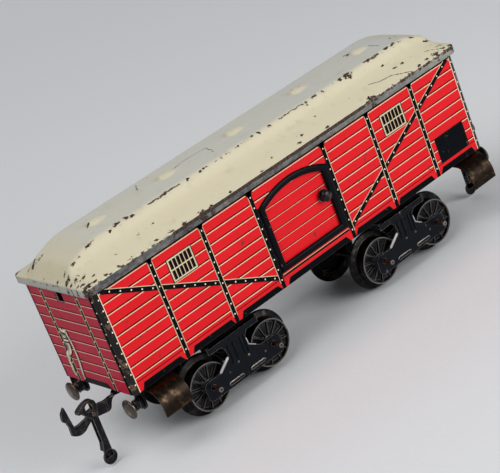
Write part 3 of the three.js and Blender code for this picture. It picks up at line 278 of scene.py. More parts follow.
@dataclass(frozen=True)
class ChippedEnamel:
    """Air-dried cream enamel sprayed on a pressed roof, flaked off down to browned tinplate.

    The eye gets a chalky satin cream, blue-grey on the crown from dust and a painted sky
    reflection and shade, dark steel with painted shade along the side skirts and painted
    shade on the end skirts, long scratches, and sharp dark chips strung along ridges, vents
    and the rim.
    """

    name: str = "cream_enamel_on_pressed_tin"
    cream: str = "D1C8AC"
    # grey of the crown and skirts: dust with a painted sky reflection and shade
    grey: str = "BCBEB9"
    grime: str = "938D7F"
    metal: str = "291E18"
    rust: str = "5E4437"
    # colours of the skirts: bare steel, its darkness partly painted shade, and its rubbed blotches
    steel: str = "34363A"
    rubbed: str = "606260"
    # height of the noise at which paint starts to be off, and is off
    flaked_at: Point2 = (0.678, 0.693)
    crumbled_at: Point2 = (0.745, 0.765)
    sway: float = 0.7      # of a scratch from its path, in millimetres
    # paths across the roof, each with half the width of its line
    scratches: tuple[tuple[float, tuple[Point2, ...]], ...] = (
        (0.24, ((-35.5, 1.2), (-28.4, 3.7), (-20.9, 2.9), (-15.6, 2.1), (-17.4, -6.4))),
        (0.5, ((-61.4, -13.8), (-56.9, -14.1), (-50.9, -13.7), (-44.1, -13.9))),
        (0.3, ((-50.4, 10.0), (-53.6, 3.8))),
        (0.26, ((61.8, -21.6), (67.5, -23.4), (73.2, -23.7), (77.8, -26.0), (82.0, -27.6))),
        (0.32, ((15.1, -14.3), (19.0, -13.8), (25.0, -13.9), (29.3, -14.1))),
        (0.3, ((85.1, -0.4), (85.7, -7.4))),
        (0.24, ((97.7, -22.9), (106.7, -26.5))),
        (0.7, ((69.5, -13.4), (78.5, -13.8))),
    )

    def material(self) -> bpy.types.Material:
        """Builds the node tree; the roof's own attributes say where paint wears, and where dust
        and painted light and shade turn it grey.
        """
        coat = Coating(self.name)
        wear, spots, dust_and_painted_light, skirt_shade_and_steel = (
            add_node(coat.tree, "ShaderNodeAttribute", attribute_name=label).outputs["Fac"]
            for label in ROOF_MARKS)
        flake = coat.grain(2.6, 7.0, (0.55, 1.15, 1), rough=0.66)
        speck = coat.grain(0.8, 3.0)
        patch = coat.between(coat.share(coat.grain(14.0, 2.0), 0.45, 0.62), 0.3, 1.0)
        loose = coat.times(coat.times(wear, patch), 0.17)
        pushed = coat.plus(loose, coat.plus(coat.times(flake, 0.7), coat.times(speck, 0.3)))
        crumb = coat.plus(coat.times(spots, 0.36),
                          coat.grain(1.3, 5.0, (0.7, 1.1, 1), rough=0.7))
        chip = coat.most(coat.share(pushed, *self.flaked_at),
                         coat.share(crumb, *self.crumbled_at))
        chip = coat.most(chip, coat.times(self._scratched(coat), coat.share(speck, 0.36, 0.5)))
        cloud = coat.share(coat.grain(15.0, 4.0), 0.3, 0.7)
        # the crown and the skirts go grey: dust with a painted sky reflection and shade
        colour = coat.mix(coat.times(dust_and_painted_light, coat.between(cloud, 0.75, 1.0)), self.cream,
                          self.grey)
        stain = coat.times(coat.share(coat.grain(5.5, 6.0), 0.52, 0.8), 0.25)
        halo = coat.times(coat.share(pushed, 0.64, 0.69), 0.25)
        colour = coat.mix(coat.most(stain, halo), colour, self.grime)
        blotch = coat.share(coat.grain(1.6, 4.0, (0.6, 1, 1)), 0.42, 0.62)
        # the skirts: bare steel in rubbed blotches, its darkness partly painted shade
        shaded_skirt_steel = coat.mix(blotch, self.steel, self.rubbed)
        colour = coat.mix(coat.times(skirt_shade_and_steel, coat.between(cloud, 0.8, 1.0)), colour, shaded_skirt_steel)
        bare = coat.mix(coat.share(speck, 0.4, 0.7), self.metal, self.rust)
        return coat.close(Base_Color=coat.mix(chip, colour, bare),
                          Roughness=coat.between(chip, 0.48, 0.6),
                          Metallic=coat.times(chip, 0.3),
                          Normal=coat.skin(1.7, 0.015, chip, 0.08),
                          Specular_IOR_Level=0.35, Coat_Weight=0.08, Coat_Roughness=0.3)

    def _scratched(self, coat: Coating) -> Socket:
        """Share of nearness to the scratches, which are drawn on the plan and swayed."""
        reach = 2 * self.sway * MM
        noise = add_node(coat.tree, "ShaderNodeTexNoise", {
            "Vector": coat.place, "Scale": per_metre(2.5), "Detail": 2.0})
        swayed = coat.vectors("MULTIPLY_ADD", {
            0: noise.outputs["Color"], 1: (reach, reach, 0), 2: coat.place})
        plan = coat.vectors("MULTIPLY", {0: swayed.outputs[0], 1: (1, 1, 0)}).outputs[0]
        lines = None
        for half, path in self.scratches:
            moved = [(u + self.sway, v + self.sway) for u, v in path]
            for start, end in zip(moved, moved[1:]):
                line = coat.stroke(plan, start, end, half)
                lines = coat.most(lines, line) if lines else line
        return lines


@dataclass(frozen=True)
class DippedBlack:
    """Black stove enamel dipped over stamped steel, rubbed bright on every edge.

    The eye gets a blue-black satin skin, thin bright steel lines where plates were cut and
    folded, brown rust in the scratches and a trace of dust on the flats.
    """

    name: str
    black: str = "060A11"
    dust: str = "151A21"
    steel: str = "B4AEA6"
    rust: str = "5A4536"
    reach: float = 0.3
    wear: float = 1.0
    shine: float = 0.05
    gloss: float = 0.1

    def material(self) -> bpy.types.Material:
        """Builds the node tree."""
        coat = Coating(self.name)
        broad = coat.grain(6.0, 5.0)
        fine = coat.grain(0.8, 4.0)
        dusty = coat.times(coat.share(broad, 0.45, 0.8), coat.between(fine, 0.2, 0.7))
        edge = coat.edges(self.reach, broad, 0.03, 0.22)
        scratch_field = coat.times(coat.grain(1.6, 6.0, (1, 1, 0.35)),
                                   coat.between(broad, 0.6, 1.35))
        worn = coat.most(coat.times(edge, 0.8 * self.wear),
                         coat.times(coat.share(scratch_field, 0.66, 0.72), 0.7))
        metal = coat.mix(coat.share(fine, 0.44, 0.66), self.steel, self.rust)
        colour = coat.mix(worn, coat.mix(dusty, self.black, self.dust), metal)
        return coat.close(Base_Color=colour, Metallic=coat.times(worn, 0.8),
                          Roughness=coat.between(worn, 0.36, 0.4),
                          Normal=coat.skin(1.5, 0.012, worn, 0.03),
                          Specular_IOR_Level=self.gloss, Coat_Weight=self.shine,
                          Coat_Roughness=0.2)


@dataclass(frozen=True)
class OldMetal:
    """Bare metal, turned, bent or tumbled, under decades of patina.

    The eye gets a dark oxide film with cloudy tone, pits, and burnished metal where edges and
    crowns have been handled.
    """

    name: str
    film: str
    bright: str
    rust: str
    polish: float = 0.3
    rusting: float = 0.3
    reach: float = 0.45
    rough: float = 0.4
    metal: float = 1.0

    def material(self) -> bpy.types.Material:
        """Builds the node tree."""
        coat = Coating(self.name)
        cloud = coat.grain(4.0, 5.0)
        fine = coat.grain(0.7, 4.0)
        rubbed = coat.most(coat.times(coat.edges(self.reach, cloud, 0.015, 0.22), 0.9),
                           coat.times(coat.share(cloud, 0.5, 0.72), self.polish))
        rust_field = coat.times(coat.grain(2.4, 6.0), coat.between(fine, 0.6, 1.4))
        rusty = coat.times(coat.share(rust_field, 0.4, 0.6), self.rusting)
        colour = coat.mix(rusty, coat.mix(rubbed, self.film, self.bright), self.rust)
        shine = coat.math("SUBTRACT", self.metal, coat.times(rusty, 0.6))
        rough = coat.plus(coat.between(rubbed, self.rough, self.rough * 0.6),
                          coat.times(rusty, 0.35))
        normal = coat.relief(coat.share(fine, 0.3, 0.7), 0.02)
        return coat.close(Base_Color=colour, Metallic=shine, Roughness=rough, Normal=normal)


@dataclass(frozen=True)
class StudioPaper:
    """Matt seamless paper under the wagon: one pale tone with a faint fibre."""

    name: str = "pale_studio_paper"
    colour: str = "E6E8EA"
    shade: str = "DDE0E3"

    def material(self) -> bpy.types.Material:
        """Builds the node tree."""
        coat = Coating(self.name)
        fibre = coat.share(coat.grain(2.0, 3.0), 0.3, 0.7)
        colour = coat.mix(coat.between(fibre, 0.0, 0.25), self.colour, self.shade)
        return coat.close(Base_Color=colour, Roughness=0.9, Specular_IOR_Level=0.2)


class Finish(Enum):
    """Every finish of the wagon, by what it is made of."""

    RED = PrintedTin("red_printed_tin", "E41821", "DA151E", varnish=0.05, gloss=0.12,
                     scuffs=0.02)
    # the ends' red, darker and bluer than the sides': painted shade with a painted bluish
    # reflection
    SHADED_END_RED = PrintedTin("end_red_printed_tin_with_painted_shade", "BE2240", "B01E38", varnish=0.02, gloss=0.08)
    INK_BLACK = PrintedTin("black_printed_tin", "05080F", "03060A", bare="54463A", scuffs=0.02,
                           varnish=0.0, gloss=0.05)
    INK_CREAM = PrintedTin("cream_printed_tin", "FFF2DC", "F6E6CC", wear=0.4, scuffs=0.0)
    INK_PEACH = PrintedTin("peach_printed_tin", "FFCFB0", "FBC6A2", wear=0.4, scuffs=0.0)
    INK_OLIVE = PrintedTin("dull_cream_printed_tin", "DDD3AC", "CCC09A", wear=0.4, scuffs=0.0)
    INK_SHADE = PrintedTin("shade_line_printed_tin", "56090A", "460608", wear=0.3, scuffs=0.0,
                           varnish=0.0, gloss=0.05)
    WORN_INK = PrintedTin("rubbed_black_printed_tin", "15120F", "0E0B0A", bare="75604A",
                          scuffs=0.15)
    CREAM = ChippedEnamel()
    BLACK = DippedBlack("black_dipped_steel")
    CHASSIS = DippedBlack("black_dipped_chassis", wear=0.5)
    MOULDING = DippedBlack("black_enamelled_moulding", black="02050A", dust="0A0E14",
                           steel="8C7A66", wear=0.4, gloss=0.06)
    RING = OldMetal("rubbed_grey_zinc", "4E4E50", "A8A6A4", "4A403A", polish=0.6, metal=0.7)
    # bare steel scratches, near white and half metallic: a painted reflection of the lit floor
    BRIGHT_STEEL_PAINTED_REFLECTION = OldMetal("rubbed_steel_with_painted_reflection", "B4B0B4", "F2EEF2", "8A7A6E", polish=0.7,
                     rusting=0.15, rough=0.45, metal=0.5)
    TIN = OldMetal("bare_tinplate", "6F6A63", "9C968C", "6B5742", rusting=0.25)
    BRONZED = OldMetal("bronzed_steel_strip", "231C17", "A4845E", "3C2C20", polish=0.2,
                       rusting=0.12, reach=0.3, rough=0.34)
    BROWNED = OldMetal("browned_steel_strip", "222328", "A3988C", "3E3028", polish=0.2,
                       rusting=0.15, reach=0.4, rough=0.36)
    NICKEL = OldMetal("worn_nickel_turned", "564D47", "C2B8AC", "4E3A2E", polish=0.5,
                      rusting=0.2, rough=0.3)
    OILED = OldMetal("oiled_turned_steel", "2C282A", "A8A0A0", "3A2A22", polish=0.25,
                     rusting=0.15, rough=0.22)
    RUSTY = OldMetal("rusty_turned_steel", "3C2A22", "C8BBAA", "5E3A28", polish=0.15,
                     rusting=0.5, reach=0.25)
    ZINC = OldMetal("blackened_cast_zinc", "15161A", "A09E9C", "2E2824", polish=0.06,
                    rusting=0.12, rough=0.42, metal=0.8)
    TREAD = OldMetal("worn_zinc_tread", "1C1B1C", "948C84", "382C24", polish=0.25, rusting=0.2,
                     reach=0.4)

    def paint(self) -> bpy.types.Material:
        """The finish's material, made once."""
        return bpy.data.materials.get(self.value.name) or self.value.material()


# ---------------------------------------------------------------- shapes
class Plane(Enum):
    """Plane of an outline; it is pushed along the axis that is left."""

    LEVEL = (0, 1, 2)
    SIDE = (0, 2, 1)
    CROSS = (1, 2, 0)

    def at(self, u: float, v: float, depth: float) -> Vector:
        """Point of the outline at a depth."""
        place = Vector((0, 0, 0))
        for axis, value in zip(self.value, (u, v, depth)):
            place[axis] = value
        return place


def arc(centre: Point2, radius: float, start: float, end: float, steps: int) -> list[Point2]:
    """Points on a circle from one angle to another, in degrees."""
    turns = [math.radians(start + (end - start) * i / steps) for i in range(steps + 1)]
    return [(centre[0] + radius * math.cos(a), centre[1] + radius * math.sin(a)) for a in turns]


def circle(centre: Point2, radius: float, sides: int = 24) -> list[Point2]:
    """Corners of a round hole or disc."""
    return arc(centre, radius, 0, 360 - 360 / sides, sides - 1)


def mirrored(half: Sequence[Point2]) -> list[Point2]:
    """A turned profile from one half of it: radii and places from the outer end inward."""
    return [*half, *((radius, -along) for radius, along in reversed(half))]


def layer_of(half: float, near: float, far: float, sign: int) -> list[float]:
    """Lower and higher face of a layer between two depths under a wall at half, one side."""
    return sorted((sign * (half - near), sign * (half - far)))


def smooth_path(points: Sequence[Point2], steps: int = 6) -> list[Point2]:
    """Points on a Catmull-Rom curve through the given ones."""
    ends = [points[0], *points, points[-1]]
    path: list[Point2] = []
    for p0, p1, p2, p3 in zip(ends, ends[1:], ends[2:], ends[3:]):
        for i in range(steps):
            t = i / steps
            path.append(tuple(
                0.5 * (2 * b + (c - a) * t + (2 * a - 5 * b + 4 * c - d) * t * t
                       + (3 * b - a - 3 * c + d) * t ** 3)
                for a, b, c, d in zip(p0, p1, p2, p3)))
    path.append(points[-1])
    return path


def profile_at(profile: Sequence[Point2], place: float) -> float:
    """Straight interpolation in a list of places and values."""
    if place <= profile[0][0]:
        return profile[0][1]
    for (x0, v0), (x1, v1) in zip(profile, profile[1:]):
        if place <= x1:
            return v0 + (v1 - v0) * (place - x0) / (x1 - x0)
    return profile[-1][1]


def linked(name: str, data: bpy.types.ID) -> bpy.types.Object:
    """Makes an object of a mesh, a light or a camera and links it to the scene."""
    made = bpy.data.objects.new(name, data)
    bpy.context.scene.collection.objects.link(made)
    return made


class Workpiece:
    """Closed shells of one piece, gathered in millimetres before they become a mesh."""

    def __init__(self) -> None:
        """Starts with no shell."""
        self.points: list[Vector] = []
        self.faces: list[tuple[int, ...]] = []
        self.coats: list[int] = []

    def shell(self, points: Iterable[Vector], faces: Iterable[Sequence[int]],
              coat: int = 0) -> None:
        """Adds one closed shell.

        Args:
            points: its corners.
            faces: its faces, by number of corner.
            coat: number of the finish it is painted with.
        """
        first = len(self.points)
        self.points.extend(points)
        added = [tuple(first + i for i in face) for face in faces]
        self.faces.extend(added)
        self.coats.extend([int(coat)] * len(added))

    def plate(self, outline: Sequence[Point2], low: float, high: float, plane: Plane,
              holes: Sequence[Sequence[Point2]] = (), coat: int = 0) -> None:
        """Adds a flat plate.

        Args:
            outline: its corners in order.
            low: lower depth along the plane's own axis.
            high: higher depth.
            plane: plane of the outline.
            holes: outlines that are cut out of it.
            coat: number of its finish.
        """
        loops = [list(outline), *[list(hole) for hole in holes]]
        flat = [corner for loop in loops for corner in loop]
        count = len(flat)
        points = [plane.at(u, v, depth) for depth in (low, high) for u, v in flat]
        faces: list[tuple[int, ...]] = []
        if holes:
            caps = tessellate_polygon([[Vector((u, v, 0)) for u, v in loop] for loop in loops])
            faces += [tuple(cap) for cap in caps]
            faces += [tuple(count + i for i in reversed(cap)) for cap in caps]
        else:
            faces += [tuple(range(count)), tuple(reversed(range(count, 2 * count)))]
        first = 0
        for loop in loops:
            size = len(loop)
            for i in range(size):
                a, b = first + i, first + (i + 1) % size
                faces.append((a, b, b + count, a + count))
            first += size
        self.shell(points, faces, coat)

    def block(self, low: Sequence[float], high: Sequence[float], coat: int = 0) -> None:
        """Adds an oblong block between two corners."""
        outline = [(low[0], low[1]), (high[0], low[1]), (high[0], high[1]), (low[0], high[1])]
        self.plate(outline, low[2], high[2], Plane.LEVEL, coat=coat)

    def loft(self, loops: Sequence[Sequence[Vector]], closed: bool = False,
             coat: int = 0) -> None:
        """Joins rings of equal count, and caps the ends unless the rings close on themselves."""
        size = len(loops[0])
        points = [p for loop in loops for p in loop]
        faces: list[tuple[int, ...]] = []
        last = len(loops) if closed else len(loops) - 1
        for k in range(last):
            a, b = k * size, ((k + 1) % len(loops)) * size
            for i in range(size):
                j = (i + 1) % size
                faces.append((a + i, a + j, b + j, b + i))
        if not closed:
            faces.append(tuple(range(size)))
            faces.append(tuple(reversed(range((len(loops) - 1) * size, len(loops) * size))))
        self.shell(points, faces, coat)

    def spin(self, profile: Sequence[Point2], centre: Sequence[float], axis: str,
             sides: int, coat: int = 0) -> None:
        """Adds a turned shell.

        Args:
            profile: radius and place along the axis, from one end to the other. It closes on
                the axis where a radius is nought, and otherwise on its own first point.
            centre: the point that the places are counted from.
            axis: "X", "Y" or "Z", with "-" before it to count the other way.
            sides: flats round the axis.
            coat: number of its finish.
        """
        direction = -1.0 if axis[0] == "-" else 1.0
        basis = {"X": (1, 2, 0), "Y": (2, 0, 1), "Z": (0, 1, 2)}[axis[-1]]
        points: list[Vector] = []
        rings: list[list[int]] = []
        for radius, along in profile:
            steps = 1 if radius == 0 else sides
            ring = []
            for i in range(steps):
                turn = TURN * (i + 0.5) / sides
                place = Vector(centre)
                place[basis[0]] += radius * math.cos(turn)
                place[basis[1]] += radius * math.sin(turn)
                place[basis[2]] += direction * along
                ring.append(len(points))
                points.append(place)
            rings.append(ring)
        if len(rings[0]) > 1:
            rings.append(rings[0])
        faces: list[tuple[int, ...]] = []
        for one, two in zip(rings, rings[1:]):
            for i in range(sides):
                j = (i + 1) % sides
                corners = [one[i % len(one)], one[j % len(one)], two[j % len(two)],
                           two[i % len(two)]]
                faces.append(tuple(dict.fromkeys(corners)))
        self.shell(points, faces, coat)

    def rod(self, path: Sequence[Sequence[float]], radius: float, sides: int = 10,
            coat: int = 0, flat: float = 1.0) -> None:
        """Adds a bar of round section along a path, with rounded ends.

        Args:
            path: points of its middle line.
            radius: half its width.
            sides: flats round it.
            coat: number of its finish.
            flat: height over width of the section, for a bead pressed out of sheet.
        """
        bulge, tip = 0.8, 0.35      # of the rounded ends, in radii
        line = [Vector(p) for p in path]
        line.insert(0, line[0] + (line[0] - line[1]).normalized() * radius * bulge)
        line.append(line[-1] + (line[-1] - line[-2]).normalized() * radius * bulge)
        loops = []
        side = None
        for i, middle in enumerate(line):
            ahead = (line[min(i + 1, len(line) - 1)] - line[max(i - 1, 0)]).normalized()
            if side is None:
                side = Vector((0, 1, 0)) if abs(ahead.y) < 0.9 else Vector((1, 0, 0))
            side = (side - ahead * side.dot(ahead)).normalized()
            up = ahead.cross(side)
            size = radius * (tip if i in (0, len(line) - 1) else 1.0)
            loops.append([middle + side * (size * flat * math.cos(TURN * k / sides))
                          + up * (size * math.sin(TURN * k / sides)) for k in range(sides)])
        self.loft(loops, coat=coat)

    def add(self, other: "Workpiece", matrix: Matrix | None = None) -> None:
        """Adds another workpiece's shells, moved by a matrix."""
        moved = [matrix @ p for p in other.points] if matrix else list(other.points)
        first = len(self.points)
        self.points.extend(moved)
        self.faces.extend(tuple(first + i for i in face) for face in other.faces)
        self.coats.extend(other.coats)

    def turned(self, matrix: Matrix) -> "Workpiece":
        """A copy of the workpiece, moved by a matrix."""
        copy = Workpiece()
        copy.add(self, matrix)
        return copy

    def twinned(self) -> "Workpiece":
        """The workpiece with its twin added, half a turn round the vertical."""
        self.add(self.turned(HALF_TURN))
        return self

    def object(self, name: str, finishes: Sequence[Finish], soften: float = 0.0,
               sharp: float = 34.0) -> bpy.types.Object:
        """Makes the mesh object, in metres, at the origin.

        Args:
            name: the object's name.
            finishes: what the coat numbers stand for.
            soften: radius to which its edges are rounded, in millimetres.
            sharp: angle above which two faces are shaded apart, in degrees.
        Returns:
            The object, linked to the scene.
        """
        mesh = bpy.data.meshes.new(name)
        mesh.from_pydata([p * MM for p in self.points], [], self.faces)
        for finish in finishes:
            mesh.materials.append(finish.paint())
        mesh.polygons.foreach_set("material_index", self.coats)
        shape = bmesh.new()
        shape.from_mesh(mesh)
        bmesh.ops.recalc_face_normals(shape, faces=shape.faces)
        shape.to_mesh(mesh)
        shape.free()
        piece = linked(name, mesh)
        mesh.shade_smooth()
        if soften > 0:
            bevel = piece.modifiers.new("rounded_edges", "BEVEL")
            bevel.width = soften * MM
            bevel.segments = 2
            bevel.limit_method = "ANGLE"
            bevel.angle_limit = math.radians(sharp)
            bevel.harden_normals = True
            settle(piece)
        else:
            mesh.set_sharp_from_angle(angle=math.radians(sharp))
        return piece


def settle(piece: bpy.types.Object) -> None:
    """Turns what an object's modifiers make into its plain mesh, and removes them."""
    name = piece.data.name
    evaluated = piece.evaluated_get(bpy.context.evaluated_depsgraph_get())
    mesh = bpy.data.meshes.new_from_object(evaluated)
    piece.modifiers.clear()
    old = piece.data
    piece.data = mesh
    bpy.data.meshes.remove(old)
    mesh.name = name


def mount(piece: bpy.types.Object, body: str, nodes: Sequence[str] = ()) -> None:
    """Puts a finished piece on its body.

    Args:
        piece: the piece, in place.
        body: the body that it moves with.
        nodes: solids that it stands for.
    """
    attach(piece, body)
    if nodes:
        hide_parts(*nodes)
    LOG.info("%s on %s, %d faces", piece.name, body, len(piece.data.polygons))


# ---------------------------------------------------------------- repeated small shapes
class Repeat:
    """Geometry Nodes trees for what is repeated: rivets at points, spokes round an axle."""

    _trees: dict[str, Tree] = {}

    @staticmethod
    def _start(name: str, inputs: dict[str, str]) -> Tree:
        """A tree with geometry in and out and named inputs of the given kinds."""
        tree = bpy.data.node_groups.new(name, "GeometryNodeTree")
        tree.interface.new_socket("Geometry", in_out="INPUT", socket_type="NodeSocketGeometry")
        for label, kind in inputs.items():
            tree.interface.new_socket(label, in_out="INPUT", socket_type=kind)
        tree.interface.new_socket("Geometry", in_out="OUTPUT", socket_type="NodeSocketGeometry")
        return tree

    @staticmethod
    def _finish(tree: Tree, instances: Socket, paint: Socket) -> None:
        """Ends a tree in Realize Instances and Set Material."""
        real = add_node(tree, "GeometryNodeRealizeInstances", {0: instances})
        painted = add_node(tree, "GeometryNodeSetMaterial", {
            "Geometry": real.outputs[0], "Material": paint})
        smooth = add_node(tree, "GeometryNodeSetShadeSmooth", {0: painted.outputs[0]})
        add_node(tree, "NodeGroupOutput", {0: smooth.outputs[0]})

    @classmethod
    def rivets(cls) -> Tree:
        """Domed rivet heads at the points of a mesh, facing as its attribute says."""
        if "rivets" not in cls._trees:
            tree = cls._start("rivet_heads", {
                "Radius": "NodeSocketFloat", "Height": "NodeSocketFloat",
                "Sides": "NodeSocketInt", "Finish": "NodeSocketMaterial"})
            given = add_node(tree, "NodeGroupInput").outputs
            ball = add_node(tree, "GeometryNodeMeshUVSphere", {
                "Segments": given["Sides"], "Rings": 6, "Radius": 1.0})
            size = add_node(tree, "ShaderNodeCombineXYZ", {
                0: given["Radius"], 1: given["Radius"], 2: given["Height"]})
            facing = add_node(tree, "GeometryNodeInputNamedAttribute", {"Name": "facing"},
                              data_type="FLOAT_VECTOR")
            turn = add_node(tree, "FunctionNodeAlignRotationToVector", {
                "Vector": facing.outputs[0]}, axis="Z")
            placed = add_node(tree, "GeometryNodeInstanceOnPoints", {
                "Points": given["Geometry"], "Instance": ball.outputs[0],
                "Rotation": turn.outputs[0], "Scale": size.outputs[0]})
            cls._finish(tree, placed.outputs[0], given["Finish"])
            cls._trees["rivets"] = tree
        return cls._trees["rivets"]

    @classmethod
    def spokes(cls) -> Tree:
        """The given part, repeated evenly round the Y axis."""
        if "spokes" not in cls._trees:
            tree = cls._start("spokes_round_axle", {
                "Count": "NodeSocketInt", "First turn": "NodeSocketFloat",
                "Finish": "NodeSocketMaterial"})
            given = add_node(tree, "NodeGroupInput").outputs
            points = add_node(tree, "GeometryNodePoints", {"Count": given["Count"]})
            number = add_node(tree, "GeometryNodeInputIndex")
            step = add_node(tree, "ShaderNodeMath", {0: TURN, 1: given["Count"]},
                            operation="DIVIDE")
            angle = add_node(tree, "ShaderNodeMath", {
                0: number.outputs[0], 1: step.outputs[0], 2: given["First turn"]},
                operation="MULTIPLY_ADD")
            turn = add_node(tree, "ShaderNodeCombineXYZ", {1: angle.outputs[0]})
            placed = add_node(tree, "GeometryNodeInstanceOnPoints", {
                "Points": points.outputs[0], "Instance": given["Geometry"],
                "Rotation": turn.outputs[0]})
            cls._finish(tree, placed.outputs[0], given["Finish"])
            cls._trees["spokes"] = tree
        return cls._trees["spokes"]

    @staticmethod
    def run(piece: bpy.types.Object, tree: Tree, values: dict[str, object]) -> None:
        """Gives an object a tree with its inputs set, and keeps the result as its mesh."""
        modifier = piece.modifiers.new(tree.name, "NODES")
        modifier.node_group = tree
        for item in tree.interface.items_tree:
            if item.item_type == "SOCKET" and item.in_out == "INPUT" and item.name in values:
                modifier[item.identifier] = values[item.name]
        settle(piece)


def rivet_rows(name: str, places: Sequence[tuple[Vector, Vector]], radius: float,
               height: float, finish: Finish, sides: int = 12) -> bpy.types.Object:
    """Rivet heads as one mesh.

    Args:
        name: the object's name.
        places: foot of each rivet and the way it faces, in millimetres.
        radius: radius of a head.
        height: how far its crown stands off the sheet.
        finish: what the heads are made of.
        sides: flats round a head.
    Returns:
        The object, linked to the scene.
    """
    mesh = bpy.data.meshes.new(name)
    mesh.from_pydata([foot * MM for foot, _ in places], [], [])
    facing = mesh.attributes.new("facing", "FLOAT_VECTOR", "POINT")
    facing.data.foreach_set("vector", [c for _, way in places for c in way])
    piece = linked(name, mesh)
    Repeat.run(piece, Repeat.rivets(), {
        "Radius": radius * MM, "Height": height * MM, "Sides": sides, "Finish": finish.paint()})
    return piece


# ---------------------------------------------------------------- body
@dataclass
class Doorway:
    """Arched opening in a side wall and the rounded moulding pressed out round it."""

    half: float = 17.4
    sill: float = FLOOR_HEIGHT + 9.5
    spring: float = 26.7
    rise: float = 4.2
    moulding: float = 3.2
    proud: float = 1.0
    steps: int = 16
    sections: int = 10

    def _arch(self) -> Point2:
        """Height of the arch's centre above the rails, and its radius."""
        radius = (self.half ** 2 + self.rise ** 2) / (2 * self.rise)
        return self.sill + self.spring + self.rise - radius, radius

    def outline(self, grow: float = 0.0) -> list[Point2]:
        """Outline in X and Z, moved outward by grow."""
        centre, arch = self._arch()
        radius, side = arch + grow, self.half + grow
        edge = math.degrees(math.acos(side / radius))
        top = arc((0, centre), radius, edge, 180 - edge, self.steps)
        return [(-side, self.sill - grow), (side, self.sill - grow), *top]

    def reach(self, z: float) -> float:
        """Half width of the moulding at a height above the rails, nought where it is clear."""
        centre, arch = self._arch()
        radius = arch + self.moulding
        if z < self.sill - self.moulding or z > centre + radius:
            return 0.0
        return min(self.half + self.moulding,
                   math.sqrt(max(0.0, radius ** 2 - (z - centre) ** 2)))

    def frame(self) -> Workpiece:
        """The moulding: a half round section led round the opening."""
        piece = Workpiece()
        loops = []
        for i in range(self.sections + 1):
            turn = math.pi * i / self.sections
            grow = self.moulding * (1 - math.cos(turn)) / 2
            depth = -HALF_WIDTH - self.proud * math.sin(turn) ** 0.8
            loops.append([Vector((u, depth, v)) for u, v in self.outline(grow)])
        inside = -HALF_WIDTH + WALL
        loops.append([Vector((u, inside, v)) for u, v in self.outline(self.moulding - 0.2)])
        loops.append([Vector((u, inside, v)) for u, v in self.outline()])
        piece.loft(loops, closed=True)
        return piece


class Ink(IntEnum):
    """Number of each ink among the finishes of the print."""

    BLACK = 0
    CREAM = 1
    SHADE = 2
    WORN = 3
    PEACH = 4
    OLIVE = 5


INKS = [Finish.INK_BLACK, Finish.INK_CREAM, Finish.INK_SHADE, Finish.WORN_INK,
        Finish.INK_PEACH, Finish.INK_OLIVE]


@dataclass
class Printing:
    """Inks laid one over another on a wall.

    What is printed is given along the wall and above the body's lower edge, and its layer is
    the number of inks that lie under it.
    """

    plane: Plane
    face: float
    thick: float
    piece: Workpiece = field(default_factory=Workpiece)

    def shape(self, outline: Sequence[Point2], layer: int, ink: Ink) -> None:
        """Prints one outline."""
        raised = [(u, v + FLOOR_HEIGHT) for u, v in outline]
        self.piece.plate(raised, self.face - self.thick * (layer + 1), self.face + self.thick,
                         self.plane, coat=ink)

    def oblong(self, low: Point2, high: Point2, layer: int, ink: Ink) -> None:
        """Prints an upright oblong between two corners."""
        self.shape([low, (high[0], low[1]), high, (low[0], high[1])], layer, ink)

    def bar(self, start: Point2, end: Point2, width: float, layer: int, ink: Ink) -> None:
        """Prints a straight line, width wide."""
        a, b = Vector(start), Vector(end)
        across = Vector((-(b - a).y, (b - a).x)).normalized() * width / 2
        corners = (a - across, b - across, b + across, a + across)
        self.shape([(c.x, c.y) for c in corners], layer, ink)

    def level(self, u0: float, u1: float, v: float, width: float, layer: int,
              ink: Ink) -> None:
        """Prints a level line between two places along the wall."""
        self.bar((u0, v), (u1, v), width, layer, ink)

    def upright(self, u: float, v0: float, v1: float, width: float, layer: int,
                ink: Ink) -> None:
        """Prints an upright line between two heights."""
        self.bar((u, v0), (u, v1), width, layer, ink)


